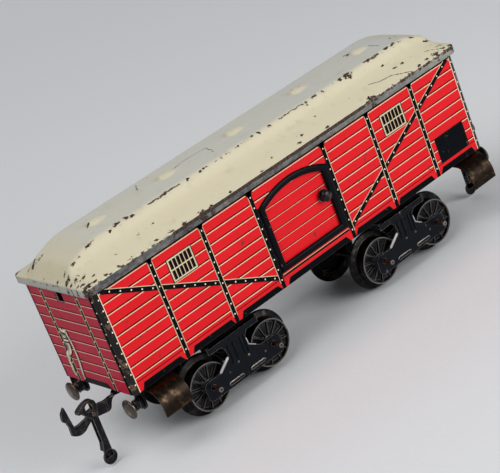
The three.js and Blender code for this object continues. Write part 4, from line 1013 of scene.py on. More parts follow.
@dataclass
class PrintedBody:
    """Folded body with its printed planks, posts, braces, grilles, panel and brake hose."""

    top: float = 85.2
    corner_steps: int = 8
    lip: float = 1.9
    slot_half: float = 2.75
    slot_foot: float = FLOOR_HEIGHT + 41.1
    ink: float = 0.03
    header: float = 48.2
    line_top: float = 47.3
    foot_top: float = 2.9
    plank_lines: tuple[float, ...] = (46.6, 41.7, 36.7, 31.6, 26.5, 21.5, 16.4, 11.3, 6.3)
    posts: tuple[float, ...] = (78.7, 50.3, 22.1)
    post_half: float = 0.95
    end_post: float = 13.85
    brace: tuple[Point2, Point2] = ((22.9, 5.4), (104.6, 47.2))
    door_line: float = 20.4
    door_post: float = 20.95
    # ends of the feet between the posts, below and above
    feet: tuple[tuple[Point2, Point2], ...] = (
        ((-104.0, -80.4), (-102.5, -82.3)), ((-75.9, -51.5), (-74.4, -53.0)),
        ((-47.7, -22.9), (-45.8, -25.2)))
    grilles: tuple[Point2, ...] = ((-71.3, -58.2), (57.2, 70.7))
    panel: tuple[Point2, Point2] = ((82.7, 4.6), (101.7, 17.0))
    red_edge: float = 105.9
    end_red_edge: float = 24.1
    top_rivet: float = 44.67
    corner_rivets: Point2 = (106.7, 25.3)
    rivet_step: float = 5.08
    brace_rivet_step: float = 5.3
    doorway: Doorway = field(default_factory=Doorway)

    def build(self) -> None:
        """Makes the walls, the mouldings and the print of both sides and both ends."""
        walls = self.walls().object("body_walls", [Finish.RED, Finish.TIN, Finish.SHADED_END_RED])
        mount(walls, "car", ["body_shell"])
        frames = self.doorway.frame().twinned()
        mount(frames.object("doorway_mouldings", [Finish.MOULDING]), "car")
        side, end = self.side_print(), self.end_print()
        for tag, turn in SIDES:
            for wall, print_ in (("side", side), ("end", end)):
                mount(print_.turned(turn).object(f"{wall}_print_{tag}", INKS), "car")
            dots = [(turn @ p, (turn.to_3x3() @ n)) for p, n in self.rivet_places()]
            mount(rivet_rows(f"printed_rivets_{tag}", dots, 0.4, 0.1, Finish.INK_CREAM, 8),
                  "car")
        mount(self.corners().object("corner_strips", INKS), "car")

    def walls(self) -> Workpiece:
        """Walls in two layers, red outside and bare tin inside, and the turned-in lower lip; the
        ends' red is darker, as painted shade.
        """
        piece = Workpiece()
        red, tin, shaded_end_red = range(3)
        low, high = FLOOR_HEIGHT, self.top
        side = [(-STRAIGHT_X, low), (STRAIGHT_X, low), (STRAIGHT_X, high), (-STRAIGHT_X, high)]
        opening = self.doorway.outline(0.01)
        slot, foot = self.slot_half, self.slot_foot
        end = [(-STRAIGHT_Y, low), (STRAIGHT_Y, low), (STRAIGHT_Y, high), (slot, high),
               (slot, foot), (-slot, foot), (-slot, high), (-STRAIGHT_Y, high)]
        for coat, near, far in ((red, 0.0, WALL / 2), (tin, WALL / 2, WALL)):
            for sign in (-1, 1):
                piece.plate(side, *layer_of(HALF_WIDTH, near, far, sign), Plane.SIDE, [opening],
                            coat)
                # the end walls take the darker red that paints their shade
                piece.plate(end, *layer_of(HALF_LENGTH, near, far, sign), Plane.CROSS,
                            coat=coat or shaded_end_red)
            for quarter, (sx, sy) in enumerate(QUARTERS):
                centre = (sx * STRAIGHT_X, sy * STRAIGHT_Y)
                start = 90 * quarter
                outline = arc(centre, BODY_CORNER - near, start, start + 90, self.corner_steps)
                outline += arc(centre, BODY_CORNER - far, start + 90, start, self.corner_steps)
                piece.plate(outline, low, high, Plane.LEVEL, coat=coat)
        for sign in (-1, 1):
            y = layer_of(HALF_WIDTH, WALL, self.lip, sign)
            piece.block((-STRAIGHT_X, y[0], low), (STRAIGHT_X, y[1], low + WALL), tin)
            x = layer_of(HALF_LENGTH, WALL, self.lip, sign)
            piece.block((x[0], -STRAIGHT_Y, low), (x[1], STRAIGHT_Y, low + WALL), tin)
        return piece

    def _plank_lines(self, sheet: Printing, width: float,
                     spans: Callable[[float], list[Point2]]) -> None:
        """Prints the pale joint lines, width wide, with the dark line over each of them."""
        for z in self.plank_lines:
            for u0, u1 in spans(z):
                sheet.level(u0, u1, z, width, 1, Ink.PEACH)
                sheet.level(u0, u1, z + 0.5, 0.6, 0, Ink.SHADE)

    def _post(self, sheet: Printing, u: float, lines: str) -> None:
        """Prints an upright strap; lines names the sides, l and r, that get a pale line."""
        sheet.upright(u, 0.0, self.header, 2 * self.post_half, 4, Ink.BLACK)
        for side, mark in ((-1, "l"), (1, "r")):
            if mark in lines:
                place = u + side * (self.post_half + 0.14)
                sheet.upright(place, self.foot_top, self.line_top, 0.3, 4, Ink.OLIVE)

    def side_print(self) -> Workpiece:
        """Print of the -Y side."""
        sheet = Printing(Plane.SIDE, -HALF_WIDTH, self.ink)
        edge, door, post = self.red_edge, self.door_line, self.door_post

        def spans(z: float) -> list[Point2]:
            """Stretches of a plank line that the doorway leaves."""
            gap = self.doorway.reach(z + FLOOR_HEIGHT)
            return [(-edge, -gap + 0.3), (gap - 0.3, edge)] if gap > 1 else [(-edge, edge)]

        self._plank_lines(sheet, 0.44, spans)
        # lines along the foot: both ends, height, width and ink
        for line in ((-edge, -door, 4.55, 0.35, 0, Ink.SHADE),
                     (door, edge, 4.55, 0.35, 0, Ink.SHADE),
                     (-door, door, 5.55, 0.28, 0, Ink.OLIVE),
                     (-door, door, 4.9, 0.9, 0, Ink.BLACK)):
            sheet.level(*line)
        for side, outer in ((-1, "l"), (1, "r")):
            low_end, high_end = ((side * u, v) for u, v in self.brace)
            sheet.bar(low_end, high_end, 2.0, 2, Ink.BLACK)
            run = (Vector(high_end) - Vector(low_end)).normalized()
            over = Vector((-run.y, run.x)) * side * 1.15
            lifted = [(p[0] + over.x, p[1] + over.y) for p in (low_end, high_end)]
            sheet.bar(lifted[0], lifted[1], 0.32, 2, Ink.OLIVE)
            sheet.upright(side * post, self.brace[0][1], 38.6, 0.9, 2, Ink.BLACK)
            for u in self.posts:
                self._post(sheet, side * u, outer if u < 30 else "lr")
            sheet.upright(side * edge, 0, self.line_top, 0.34, 4, Ink.CREAM)
        sheet.level(-edge, edge, 47.75, 0.9, 4, Ink.BLACK)
        for u in self.posts:
            for side in (-1, 1):
                sheet.shape(self._bracket(side * u), 4, Ink.BLACK)
        top = self.foot_top
        for foot, head in self.feet:
            for sign in (-1, 1):
                sheet.shape([(sign * foot[0], 0.0), (sign * foot[1], 0.0),
                             (sign * head[1], top), (sign * head[0], top)], 2, Ink.BLACK)
        sheet.shape([(-19.6, 0), (19.6, 0), (17.6, top), (-17.6, top)], 2, Ink.BLACK)
        for u0, u1 in self.grilles:
            self._grille(sheet, u0, u1)
        sheet.oblong(*self.panel, 5, Ink.BLACK)
        return sheet.piece

    def _bracket(self, u: float) -> list[Point2]:
        """Rounded fillets under the header where a post meets it, wider over the door."""
        reach = 3.7 if abs(u) < 30 else 2.6
        low, radius, half = 48.3 - reach, reach - 1.0, self.post_half
        left = [(min(x, u - half), z) for x, z in arc((u - reach, low), radius, 90, 0, 5)]
        right = [(max(x, u + half), z) for x, z in arc((u + reach, low), radius, 180, 90, 5)]
        return [*left, *right, (u + reach, 47.9), (u - reach, 47.9)]

    @staticmethod
    def _grille(sheet: Printing, u0: float, u1: float) -> None:
        """Printed ventilator grille: a pale frame round two rows of dark slots."""
        low, high, border = 32.1, 42.3, 0.4
        frame_width, mullion, rail = 0.7, 0.42, 0.6
        columns = 6
        sheet.oblong((u0 - border, low - border), (u1 + border, high + border), 2, Ink.BLACK)
        sheet.oblong((u0, low), (u1, high), 3, Ink.OLIVE)
        inner0, inner1 = u0 + frame_width, u1 - frame_width
        pitch = (inner1 - inner0 + mullion) / columns
        middle = (low + high) / 2
        rows = ((low + frame_width, middle - rail / 2), (middle + rail / 2, high - frame_width))
        for z0, z1 in rows:
            for i in range(columns):
                x0 = inner0 + i * pitch
                sheet.oblong((x0, z0), (x0 + pitch - mullion, z1), 4, Ink.BLACK)
                sheet.oblong((x0 + 0.15, z0 + 0.15), (x0 + 0.45, z1 - 0.4), 5, Ink.SHADE)

    def end_print(self) -> Workpiece:
        """Print of the -X end."""
        sheet = Printing(Plane.CROSS, -HALF_LENGTH, self.ink)
        edge = self.end_red_edge

        def spans(z: float) -> list[Point2]:
            """Stretches of a plank line that the slot leaves."""
            gap = self.slot_half + 0.1
            if z > self.slot_foot - FLOOR_HEIGHT - 0.5:
                return [(-edge, -gap), (gap, edge)]
            return [(-edge, edge)]

        self._plank_lines(sheet, 0.34, spans)
        for u in (-self.end_post, self.end_post):
            sheet.upright(u, 0, self.header, 1.5, 4, Ink.BLACK)
            for side in (-1, 1):
                sheet.upright(u + side * 0.88, 0, self.header, 0.26, 4, Ink.OLIVE)
        sheet.shape([(-10.5, 0), (10.8, 0), (8.8, 2.7), (-8.6, 2.7)], 2, Ink.BLACK)
        self._hose(sheet)
        return sheet.piece

    def _hose(self, sheet: Printing) -> None:
        """Printed brake hose: a thick curved hose with its clamp, beside a thin pipe."""
        pipe = smooth_path([(8.0, 26.2), (7.6, 23.0), (7.0, 19.5), (7.0, 15.5), (7.3, 11.5),
                            (8.2, 7.5), (9.0, 4.0), (9.1, 1.8)], 4)
        hose = smooth_path([(10.2, 24.6), (10.7, 22.4), (10.8, 20.2), (10.8, 17.6), (11.9, 15.2),
                            (14.4, 13.0), (15.6, 10.0), (15.9, 6.8), (16.0, 4.2), (15.4, 2.4)], 4)
        thin = len(hose) * 3 // 5
        forks = [[(10.3, 23.6), (tip, 26.4)] for tip in (9.0, 11.6)]
        for path, rim, core in ((hose[thin:], 2.8, 1.9), (hose[:thin + 1], 3.4, 2.6),
                                (pipe, 2.0, 1.2), (forks[0], 2.2, 1.4), (forks[1], 2.2, 1.4)):
            self._pipe(sheet, path, rim, 5, Ink.BLACK)
            self._pipe(sheet, path, core, 6, Ink.CREAM)
        for z, ink in ((21.5, Ink.BLACK), (20.7, Ink.CREAM), (19.9, Ink.BLACK)):
            self._pipe(sheet, [(9.2, z), (12.4, z)], 0.65, 7, ink)

    @staticmethod
    def _pipe(sheet: Printing, path: Sequence[Point2], width: float, layer: int,
              ink: Ink) -> None:
        """Prints a path in bars that overlap a little at its bends."""
        for a, b in zip(path, path[1:]):
            ext = (Vector(b) - Vector(a)).normalized() * 0.12
            sheet.bar((a[0] - ext.x, a[1] - ext.y), (b[0] + ext.x, b[1] + ext.y), width, layer,
                      ink)

    def corners(self) -> Workpiece:
        """Black strips printed round the four upright edges, rubbed on the outside."""
        piece = Workpiece()
        out, into = self.ink * 4, self.ink
        centre = (STRAIGHT_X, STRAIGHT_Y)
        strip = [(self.red_edge, HALF_WIDTH + out), *arc(centre, BODY_CORNER + out, 90, 0, 8),
                 (HALF_LENGTH - into, STRAIGHT_Y), *arc(centre, BODY_CORNER - into, 0, 90, 8),
                 (self.red_edge, HALF_WIDTH - into)]
        rub = [*arc(centre, BODY_CORNER + out + self.ink, 84, 30, 6),
               *arc(centre, BODY_CORNER - into, 30, 84, 6)]
        for sx in (-1, 1):
            for sy in (-1, 1):
                for path, ink in ((strip, Ink.BLACK), (rub, Ink.WORN)):
                    piece.plate([(sx * x, sy * y) for x, y in path], FLOOR_HEIGHT,
                                FLOOR_HEIGHT + self.header, Plane.LEVEL, coat=ink)
        return piece

    def rivet_places(self) -> list[tuple[Vector, Vector]]:
        """Feet of the rivets on the -Y side and the -X end."""
        out_side, out_end = Vector((0, -1, 0)), Vector((-1, 0, 0))
        crown, corner = 5 * self.ink, 4 * self.ink      # how far the feet stand off the tin
        side_face, end_face = -HALF_WIDTH - crown, -HALF_LENGTH - crown
        heights = [FLOOR_HEIGHT + self.top_rivet - self.rivet_step * k for k in range(9)]
        places = []
        for z in heights:
            for u in (*self.posts, self.corner_rivets[0]):
                for sign in (-1, 1):
                    places.append((Vector((sign * u, side_face, z)), out_side))
            for v in (self.end_post, self.corner_rivets[1]):
                for sign in (-1, 1):
                    reach = end_face if v < 20 else -self._corner_reach(v) - corner
                    places.append((Vector((reach, sign * v, z)), out_end))
        low_end, high_end = (Vector(end) for end in self.brace)
        run, step = high_end - low_end, self.brace_rivet_step
        for i in range(int(run.length / step)):
            spot = low_end + run.normalized() * (2.6 + step * i)
            if min(abs(spot.x - u) for u in self.posts) < 1.6:
                continue
            for sign in (-1, 1):
                places.append((Vector((sign * spot.x, side_face + 2 * self.ink,
                                       FLOOR_HEIGHT + spot.y)), out_side))
        return places

    @staticmethod
    def _corner_reach(v: float) -> float:
        """Place along the wagon of the rounded corner at a distance from the middle line."""
        over = max(0.0, v - STRAIGHT_Y)
        return STRAIGHT_X + math.sqrt(BODY_CORNER ** 2 - over ** 2)


# ---------------------------------------------------------------- roof
@dataclass
class PressedRoof:
    """Roof pressed from one sheet that sinks at its ends, with skirt and five ventilators."""

    half_x: float = 111.4
    half_y: float = 28.2
    corner: float = 3.2
    rim_low: float = FLOOR_HEIGHT + 48.1
    rim_top: float = FLOOR_HEIGHT + 51.8
    rise: float = 11.3
    sheet: float = 0.8
    skirt: float = 0.7
    edge_round: float = 0.5
    side_profile: tuple[Point2, ...] = (
        (0, 0), (3.2, 0.168), (8.2, 0.4), (11.2, 0.584), (13, 0.805), (14.1, 0.935),
        (15.4, 0.972), (28.2, 1))
    end_profile: tuple[Point2, ...] = (
        (0, 0), (2.4, 0.3), (4.9, 0.57), (6.9, 0.67), (11, 0.8), (14, 0.9), (18, 0.97), (22, 1))
    vents: tuple[float, ...] = (-79.6, -39.8, 0.0, 39.8, 79.6)
    vent_length: float = 11.0
    vent_half: float = 3.7
    vent_rise: float = 1.4
    ridge: float = 14.0
    bare_skirt: Point2 = (-64.0, 50.0)      # stretch along X where the skirt is rubbed bare
    # places where the paint has flaked, with the reach of each
    flaked: tuple[tuple[float, float, float], ...] = (
        (-78.3, -13.5, 1.7), (-73.2, -13.3, 1.3), (-70.3, -14.2, 1.2), (-39.4, -14.2, 1.0),
        (-32.2, -14.2, 0.9), (-20.0, -14.0, 0.9), (-10.4, -14.0, 0.9), (-94.7, -14.1, 1.3),
        (-100.5, -14.4, 0.8), (-104.3, -14.2, 1.4), (-82.9, -14.4, 0.8), (-108.0, -18.8, 1.6),
        (-106.2, -21.0, 1.5), (-110.2, -14.8, 1.7), (-109.5, -27.2, 2.4), (-102.3, -23.7, 1.0),
        (-84.3, -1.0, 1.1), (-37.2, 1.7, 1.2), (-74.8, -20.1, 0.7), (-66.0, -19.9, 0.7),
        (-89.4, -22.2, 0.8), (-71.5, -27.0, 1.0), (-42.2, -27.9, 1.1), (-47.5, -27.8, 1.6),
        (-105.2, 9.5, 1.3), (-107.5, 13.0, 1.7), (-108.8, 17.3, 1.1), (-106.6, 11.0, 1.0),
        (-110.8, 26.0, 2.0), (-111.2, 28.0, 2.6), (30.8, -14.3, 1.3), (36.9, -13.9, 1.5),
        (41.7, -14.2, 1.0),
        (53.5, -14.0, 1.2), (58.0, -14.2, 2.2), (72.0, -13.6, 1.5), (84.0, -13.4, 1.3),
        (88.7, -13.6, 1.5), (92.1, -14.1, 0.9), (37.2, 1.3, 1.0), (43.0, 3.5, 0.8),
        (76.2, 3.1, 1.9), (75.0, 4.6, 1.4), (94.6, -5.9, 1.2), (98.4, -5.1, 1.0),
        (101.2, -11.2, 1.1), (105.5, -13.0, 1.2), (99.5, -26.9, 1.9), (110.0, -27.0, 2.2),
        (104.4, -17.1, 1.3), (79.0, -21.7, 1.0), (83.8, -21.9, 1.0), (89.6, -21.3, 0.8),
        (76.0, -17.8, 1.0), (56.0, -27.6, 2.2), (29.5, -20.1, 0.8), (-3.1, -25.0, 0.7),
        (16.4, -24.0, 0.9), (12.2, -26.3, 1.1), (-1.6, -13.6, 1.0), (2.3, -14.0, 0.8),
        (8.8, -14.2, 1.1), (110.5, 20.0, 1.6), (-110.6, -18.0, 1.2), (-110.9, -22.0, 1.3),
        (-109.3, -23.8, 1.3), (-107.4, -25.8, 1.2), (-104.5, -26.8, 1.1), (-110.7, -8.0, 0.8),
        (-108.3, -12.0, 0.8), (-99.0, -27.2, 1.1), (-93.0, -27.3, 0.9), (-86.0, -27.4, 1.0),
        (-64.0, -27.5, 1.3), (-57.0, -27.6, 1.2), (-30.0, -27.6, 1.0), (-12.0, -27.6, 1.0),
        (28.0, -27.5, 1.0), (88.0, -27.4, 1.2), (94.0, -27.0, 1.2), (105.0, -26.5, 1.2))

    def build(self) -> None:
        """Makes the roof as one mesh with its wear, and its painted light and shade, written on
        its points.
        """
        piece = Workpiece()
        ridge = self.ridge
        xs = self._stations(self.half_x - self.edge_round, self.vents, 0.5, 7.0, 0.95)
        ys = self._stations(self.half_y - self.edge_round, (0, -ridge, ridge), 0.4, 4.0, 0.7)
        top, under = ([self._surface(x, y, inner) for x in xs for y in ys]
                      for inner in (False, True))
        edge = self._edge(len(xs), len(ys))
        rim = [top[i] for i in edge]
        loops = []
        for turn in (30, 60, 90):
            a = math.radians(turn)
            loops.append([self._pushed(p, self.edge_round * math.sin(a),
                                       -self.edge_round * (1 - math.cos(a))) for p in rim])
        low = self.rim_low
        ups = (*(self.rim_top - low - drop for drop in (0.5, 1.0, 1.4, 1.8)), 0.15)
        for out, z in (*((self.edge_round, low + up) for up in ups),
                       (self.edge_round - 0.15, low), (self.edge_round - self.skirt, low)):
            loops.append([Vector((*self._pushed(p, out, 0).xy, z)) for p in rim])
        self._sew(piece, top, under, edge, loops, len(ys))
        roof = piece.object("pressed_roof", [Finish.CREAM], sharp=80)
        self._mark(roof)
        mount(roof, "car", ["roof"])

    @staticmethod
    def _stations(half: float, dense: Sequence[float], fine: float, reach: float,
                  coarse: float) -> list[float]:
        """Places along one axis, closer together near the given ones.

        Args:
            half: half the length that they span.
            dense: places where they lie closer.
            fine: their spacing there.
            reach: how far from such a place it holds.
            coarse: their spacing elsewhere.
        Returns:
            The places, from -half to half.
        """
        places = [-half]
        while places[-1] < half:
            here = places[-1]
            close = any(abs(here + fine / 2 - middle) < reach for middle in dense)
            step = fine if close else coarse
            step = min(step, 0.5) if half - abs(here) < 3 else step
            places.append(here + step)
        last = places[-1]
        return [p + (p + half) / (last + half) * (half - last) for p in places]

    def _corner_centre(self) -> tuple[float, float, float]:
        """Centre of the plan's rounded corner, and its radius."""
        radius = self.corner - self.edge_round
        return (self.half_x - self.edge_round - radius, self.half_y - self.edge_round - radius,
                radius)

    def _round_plan(self, x: float, y: float) -> Point2:
        """Draws the corners of an oblong grid in to a rounded plan."""
        cx, cy, _ = self._corner_centre()
        dx, dy = abs(x) - cx, abs(y) - cy
        if dx <= 0 or dy <= 0:
            return x, y
        pull = max(dx, dy) / math.hypot(dx, dy)
        return (math.copysign(cx + dx * pull, x), math.copysign(cy + dy * pull, y))

    def height(self, x: float, y: float) -> float:
        """Height of the pressed sheet above the rim, without its ventilators."""
        return (self.rise * self._soft(self.side_profile, self.half_y - abs(y))
                * self._soft(self.end_profile, self.half_x - abs(x)))

    @staticmethod
    def _soft(profile: Sequence[Point2], place: float) -> float:
        """Profile value with its corners rounded over a millimetre."""
        around = (-0.8, -0.4, 0.0, 0.4, 0.8)
        if place < around[-1]:
            return profile_at(profile, place)
        return sum(profile_at(profile, place + d) for d in around) / len(around)

    def vent(self, x: float, y: float) -> float:
        """Height of the ventilator at a place, blunt towards -X and drawn out towards +X."""
        # shares of its length where it is full width, is full height and starts to fall
        wide, full, fall = 0.22, 0.16, 0.25
        taper, square, rounding = 0.55, 2.4, 0.8
        for middle in self.vents:
            along = (x - middle + self.vent_length / 2) / self.vent_length
            if 0 < along < 1:
                half = self.vent_half * math.sqrt(min(1.0, along / wide))
                half *= 1 - taper * along ** 2
                across = abs(y) / max(half, 1e-3)
                if across < 1:
                    front = math.sin(min(1.0, along / full) * math.pi / 2)
                    back = math.cos(max(0.0, (along - fall) / (1 - fall)) * math.pi / 2)
                    return (self.vent_rise * front * back ** rounding
                            * (1 - across ** square) ** rounding)
        return 0.0

    def _surface(self, x: float, y: float, inner: bool) -> Vector:
        """Point of the outer surface, or of the inner one under the same place of the grid."""
        px, py = self._round_plan(x, y)
        if inner:
            px *= (self.half_x - self.skirt) / (self.half_x - self.edge_round)
            py *= (self.half_y - self.skirt) / (self.half_y - self.edge_round)
        z = self.rim_top + self.height(px, py) + self.vent(px, py)
        return Vector((px, py, z - self.sheet if inner else z))

    @staticmethod
    def _edge(nx: int, ny: int) -> list[int]:
        """Numbers of the points round the edge of a grid, in order."""
        return ([i * ny for i in range(nx)] + [(nx - 1) * ny + j for j in range(1, ny)]
                + [i * ny + ny - 1 for i in range(nx - 2, -1, -1)] + [*range(ny - 2, 0, -1)])

    def _pushed(self, point: Vector, out: float, up: float) -> Vector:
        """The point moved straight out of the rounded plan, and up."""
        cx, cy, radius = self._corner_centre()
        away = Vector((max(0.0, abs(point.x) - cx), max(0.0, abs(point.y) - cy)))
        if away.x < radius - 1e-4 and away.y < radius - 1e-4 and away.length < radius - 1e-3:
            away = Vector((0, 0))
        away = away.normalized() * out if away.length > 0 else away
        return Vector((point.x + math.copysign(away.x, point.x),
                       point.y + math.copysign(away.y, point.y), point.z + up))

    @staticmethod
    def _sew(piece: Workpiece, top: Sequence[Vector], under: Sequence[Vector],
             edge: Sequence[int], loops: Sequence[Sequence[Vector]], ny: int) -> None:
        """Joins the outer grid, the rim's rings and the inner grid into one shell.

        Args:
            piece: what the shell is added to.
            top: points of the outer grid, row by row.
            under: points of the inner grid.
            edge: numbers of the points round a grid.
            loops: rings of points between the two grids' edges.
            ny: points in a row.
        """
        points = [*top, *under]
        faces = []
        for base in (0, len(top)):
            for i in range(len(top) // ny - 1):
                for j in range(ny - 1):
                    a = base + i * ny + j
                    faces.append((a, a + ny, a + ny + 1, a + 1))
        rings = [list(edge)]
        for loop in loops:
            rings.append(list(range(len(points), len(points) + len(loop))))
            points += loop
        rings.append([len(top) + i for i in edge])
        size = len(edge)
        for one, two in zip(rings, rings[1:]):
            for i in range(size):
                j = (i + 1) % size
                faces.append((one[i], one[j], two[j], two[i]))
        piece.shell(points, faces)

    def _mark(self, roof: bpy.types.Object) -> None:
        """Writes on the points where paint wears and has flaked, where dust and a painted sky
        reflection and shade grey the crown and skirts, and where the skirts' paint is gone to
        bare steel under painted shade.

        Each mark is the strongest of several shares, from nought to one, that fall off over
        the millimetres they are divided by.
        """
        mesh = roof.data
        marks: dict[str, list[float]] = {label: [] for label in ROOF_MARKS}
        for vertex in mesh.vertices:
            x, y, z = (c / MM for c in vertex.co)
            inset = self.half_x - abs(x)
            ridge = math.exp(-((abs(y) - self.ridge) / 0.7) ** 2) * min(1.0, inset / 9)
            rim = 1.0 if -1.5 < z - self.rim_top < -0.05 else 0.0
            worn = self.bare_skirt[0] < x < self.bare_skirt[1]
            side = 1.0 if abs(y) > self.half_y - 0.8 else 0.0
            low = math.exp(-((z - self.rim_low) / 0.5) ** 2)
            bump = self.vent(x, y) / self.vent_rise
            corner = 1.0 if inset < 8 and abs(y) > self.ridge else 0.0
            marks["wear"].append(max(ridge, rim, 0.5 * low, 0.8 * bump * (1 - bump),
                                     0.55 * corner, 0.6 if inset < 5 else 0.1))
            spot = rim * side * (1.6 if worn else 0.72 if x > 0 else 0.45)
            if not worn and z > self.rim_top - 0.3:
                ragged = 0.5 + 0.5 * math.sin(1.7 * x) * math.sin(0.61 * x + 1)
                spot = max(spot, ragged * math.exp(-((self.half_y - abs(y)) / 0.7) ** 2))
            for u, v, reach in self.flaked:
                if abs(x - u) < 2 * reach and abs(y - v) < 2 * reach:
                    near = ((x - u) / (1.5 * reach)) ** 2 + ((y - v) / (0.8 * reach)) ** 2
                    spot = max(spot, math.exp(-near))
            marks["spots"].append(spot)
            # dust with a painted sky reflection and shade: grey on the crown, more so towards +X
            # and less on the ventilators, which catch the light, and grey on the upright skirts,
            # which stand in painted shade
            crown = 1 / (1 + math.exp((abs(y) - 13.4) / 0.5)) * min(1.0, max(0, inset - 4) / 16)
            along = (x + self.half_x) / (2 * self.half_x)
            skirt = 1.0 if z < self.rim_top - (0.15 if worn else 0.4) else 0.0
            marks["dust_and_painted_light"].append(max(crown * (1 - 0.95 * min(1.0, 2 * bump))
                                     * (0.62 + 0.38 * along), 0.8 * skirt))
            # painted shade on the upright skirts, over bare steel: full on the sides, lighter
            # towards +X, and a little on the end skirts
            bright = 0.35 * max(0.0, along - 0.55) / 0.45
            marks["skirt_shade_and_steel"].append(skirt * (side * (1 - bright) if inset > 1.5 else 0.32))
        for label, values in marks.items():
            mesh.attributes.new(label, "FLOAT", "POINT").data.foreach_set("value", values)


# ---------------------------------------------------------------- doors
@dataclass
class SlidingDoor:
    """Printed door behind the wall, with its knob on a dished plate."""

    half: float = 19.5
    face: float = -26.0
    knob_x: float = 14.0
    knob_z: float = FLOOR_HEIGHT + 25.9
    planks: tuple[float, ...] = (39.9, 35.2, 29.8, 24.6, 19.5, 14.6)

    def build(self) -> None:
        """Makes the print and the knob of both doors; the sheets are the solids' own."""
        for tag, turn in SIDES:
            body = f"slider_{tag}"
            lines = self.lines().turned(turn).object(
                f"door_print_{tag}", [Finish.INK_SHADE, Finish.INK_PEACH])
            mount(lines, body)
            knob = self.knob().turned(turn).object(f"knob_{tag}", [Finish.OILED], sharp=50)
            mount(knob, body, [f"door_knob_{tag}"])

    def lines(self) -> Workpiece:
        """Joint lines of the printed planks."""
        piece = Workpiece()
        shade, peach = range(2)
        for z in self.planks:
            for shift, width, coat, out in ((0.3, 0.42, shade, 0.03), (0, 0.22, peach, 0.05)):
                low = FLOOR_HEIGHT + z + shift - width / 2
                piece.block((-self.half + 0.4, self.face - out, low),
                            (self.half - 0.4, self.face + 0.03, low + width), coat)
        return piece

    def knob(self) -> Workpiece:
        """Turned knob on its dished plate, with its shank through the door."""
        piece = Workpiece()
        centre = (self.knob_x, self.face, self.knob_z)
        profile = [(0, -1.6), (1.5, -1.6), (1.6, -1.0), (0.9, -1.0), (0.9, 0.3), (2.6, 0.3),
                   (3.0, 0.75), (3.0, 1.15), (2.75, 1.2), (2.0, 0.8), (1.3, 0.9), (0.95, 1.3),
                   (0.9, 2.1)]
        for i in range(9):
            turn = math.radians(-62 + 152 * i / 8)
            profile.append((2.62 * math.cos(turn), 3.45 + 1.15 * math.sin(turn)))
        profile[-1] = (0, 4.6)
        piece.spin(profile, centre, "-Y", 40)
        return piece


# ---------------------------------------------------------------- bogies
@dataclass
class SpokedWheel:
    """Cast wheel with a flange, a recessed web and thin raised spokes."""

    flange: float = 13.97
    tread: float = 10.8
    face: float = 21.2
    back: float = 14.2
    rim: float = 1.05
    bore: float = 1.05
    recess: float = 1.6      # of the web, behind the face
    hub: float = 3.3
    spokes: int = 12
    sides: int = 72

    def disc(self) -> Workpiece:
        """Wheel body on the Y axis with its face towards +Y."""
        piece = Workpiece()
        zinc, rubbed_tread, rubbed_ring_and_highlight = range(3)
        bore, rim = self.bore, self.tread - self.rim
        front = self.face - self.recess
        rear = front - 1.2
        tyre = [(rim, self.back), (self.flange - 0.5, self.back), (self.flange - 0.12, 14.35),
                (self.flange, 14.75), (self.flange - 0.15, 15.2), (self.flange - 0.7, 15.6),
                (self.tread + 0.75, 15.75), (self.tread + 0.2, 16.1), (self.tread, 16.8),
                (self.tread - 0.1, self.face - 0.25), (self.tread - 0.35, self.face),
                (rim + 0.15, self.face), (rim, self.face - 0.2), (rim - 0.1, front + 0.4),
                (rim - 0.5, front), (rim - 0.5, rear)]
        piece.spin(tyre, (0, 0, 0), "Y", self.sides, rubbed_tread)
        web = [(bore, rear), (rim - 0.1, rear), (rim - 0.1, front), (self.hub + 0.5, front),
               (self.hub + 0.1, front + 0.4), (self.hub, self.face - 0.35),
               (self.hub - 0.4, self.face - 0.1), (bore + 0.3, self.face - 0.1),
               (bore, self.face - 0.3)]
        piece.spin(web, (0, 0, 0), "Y", self.sides, zinc)
        # a thin rubbed ring proud of the tyre's face, which also paints the highlight of its front
        # edge
        radius, along = self.tread - 0.28, self.face
        ring = [(radius - 0.2, along - 0.1), (radius + 0.2, along - 0.1),
                (radius + 0.2, along + 0.04), (radius - 0.2, along + 0.04)]
        piece.spin(ring, (0, 0, 0), "Y", self.sides, rubbed_ring_and_highlight)
        return piece

    def spoke(self) -> Workpiece:
        """One spoke along +X: a ridge that thins towards the rim."""
        piece = Workpiece()
        front = self.face - self.recess
        loops = []
        for radius, half, crest in ((self.hub - 0.4, 0.85, 1.2), (self.hub + 1.2, 0.6, 1.15),
                                    (6.8, 0.5, 1.1), (self.tread - self.rim + 0.3, 0.6, 1.0)):
            flank = [(front - 0.3, half), (front + crest * 0.6, half * 0.72),
                     (front + crest, half * 0.3)]
            loops.append([Vector((radius, y, -z)) for y, z in flank]
                         + [Vector((radius, y, z)) for y, z in reversed(flank)])
        piece.loft(loops)
        return piece

    def build(self, name: str, body: str, centre: Vector, far: bool, phase: float) -> None:
        """Makes one wheel.

        Args:
            name: the solid that it stands for.
            body: the wheelset that it turns with.
            centre: the middle of the axle.
            far: whether it is the wheel on the +Y side.
            phase: turn of its first spoke, in degrees.
        """
        turn = Matrix.Identity(4) if far else HALF_TURN
        place = Matrix.Translation(centre) @ turn
        disc = self.disc()
        ring = self.spoke().object(f"{name}_spokes", [Finish.ZINC], sharp=40)
        Repeat.run(ring, Repeat.spokes(), {
            "Count": self.spokes, "First turn": math.radians(phase),
            "Finish": Finish.ZINC.paint()})
        disc.shell([v.co / MM for v in ring.data.vertices],
                   [tuple(p.vertices) for p in ring.data.polygons])
        bpy.data.objects.remove(ring)
        wheel = disc.turned(place).object(f"spoked_{name}", [
            Finish.ZINC, Finish.TREAD, Finish.RING], sharp=38)
        mount(wheel, body, [name])


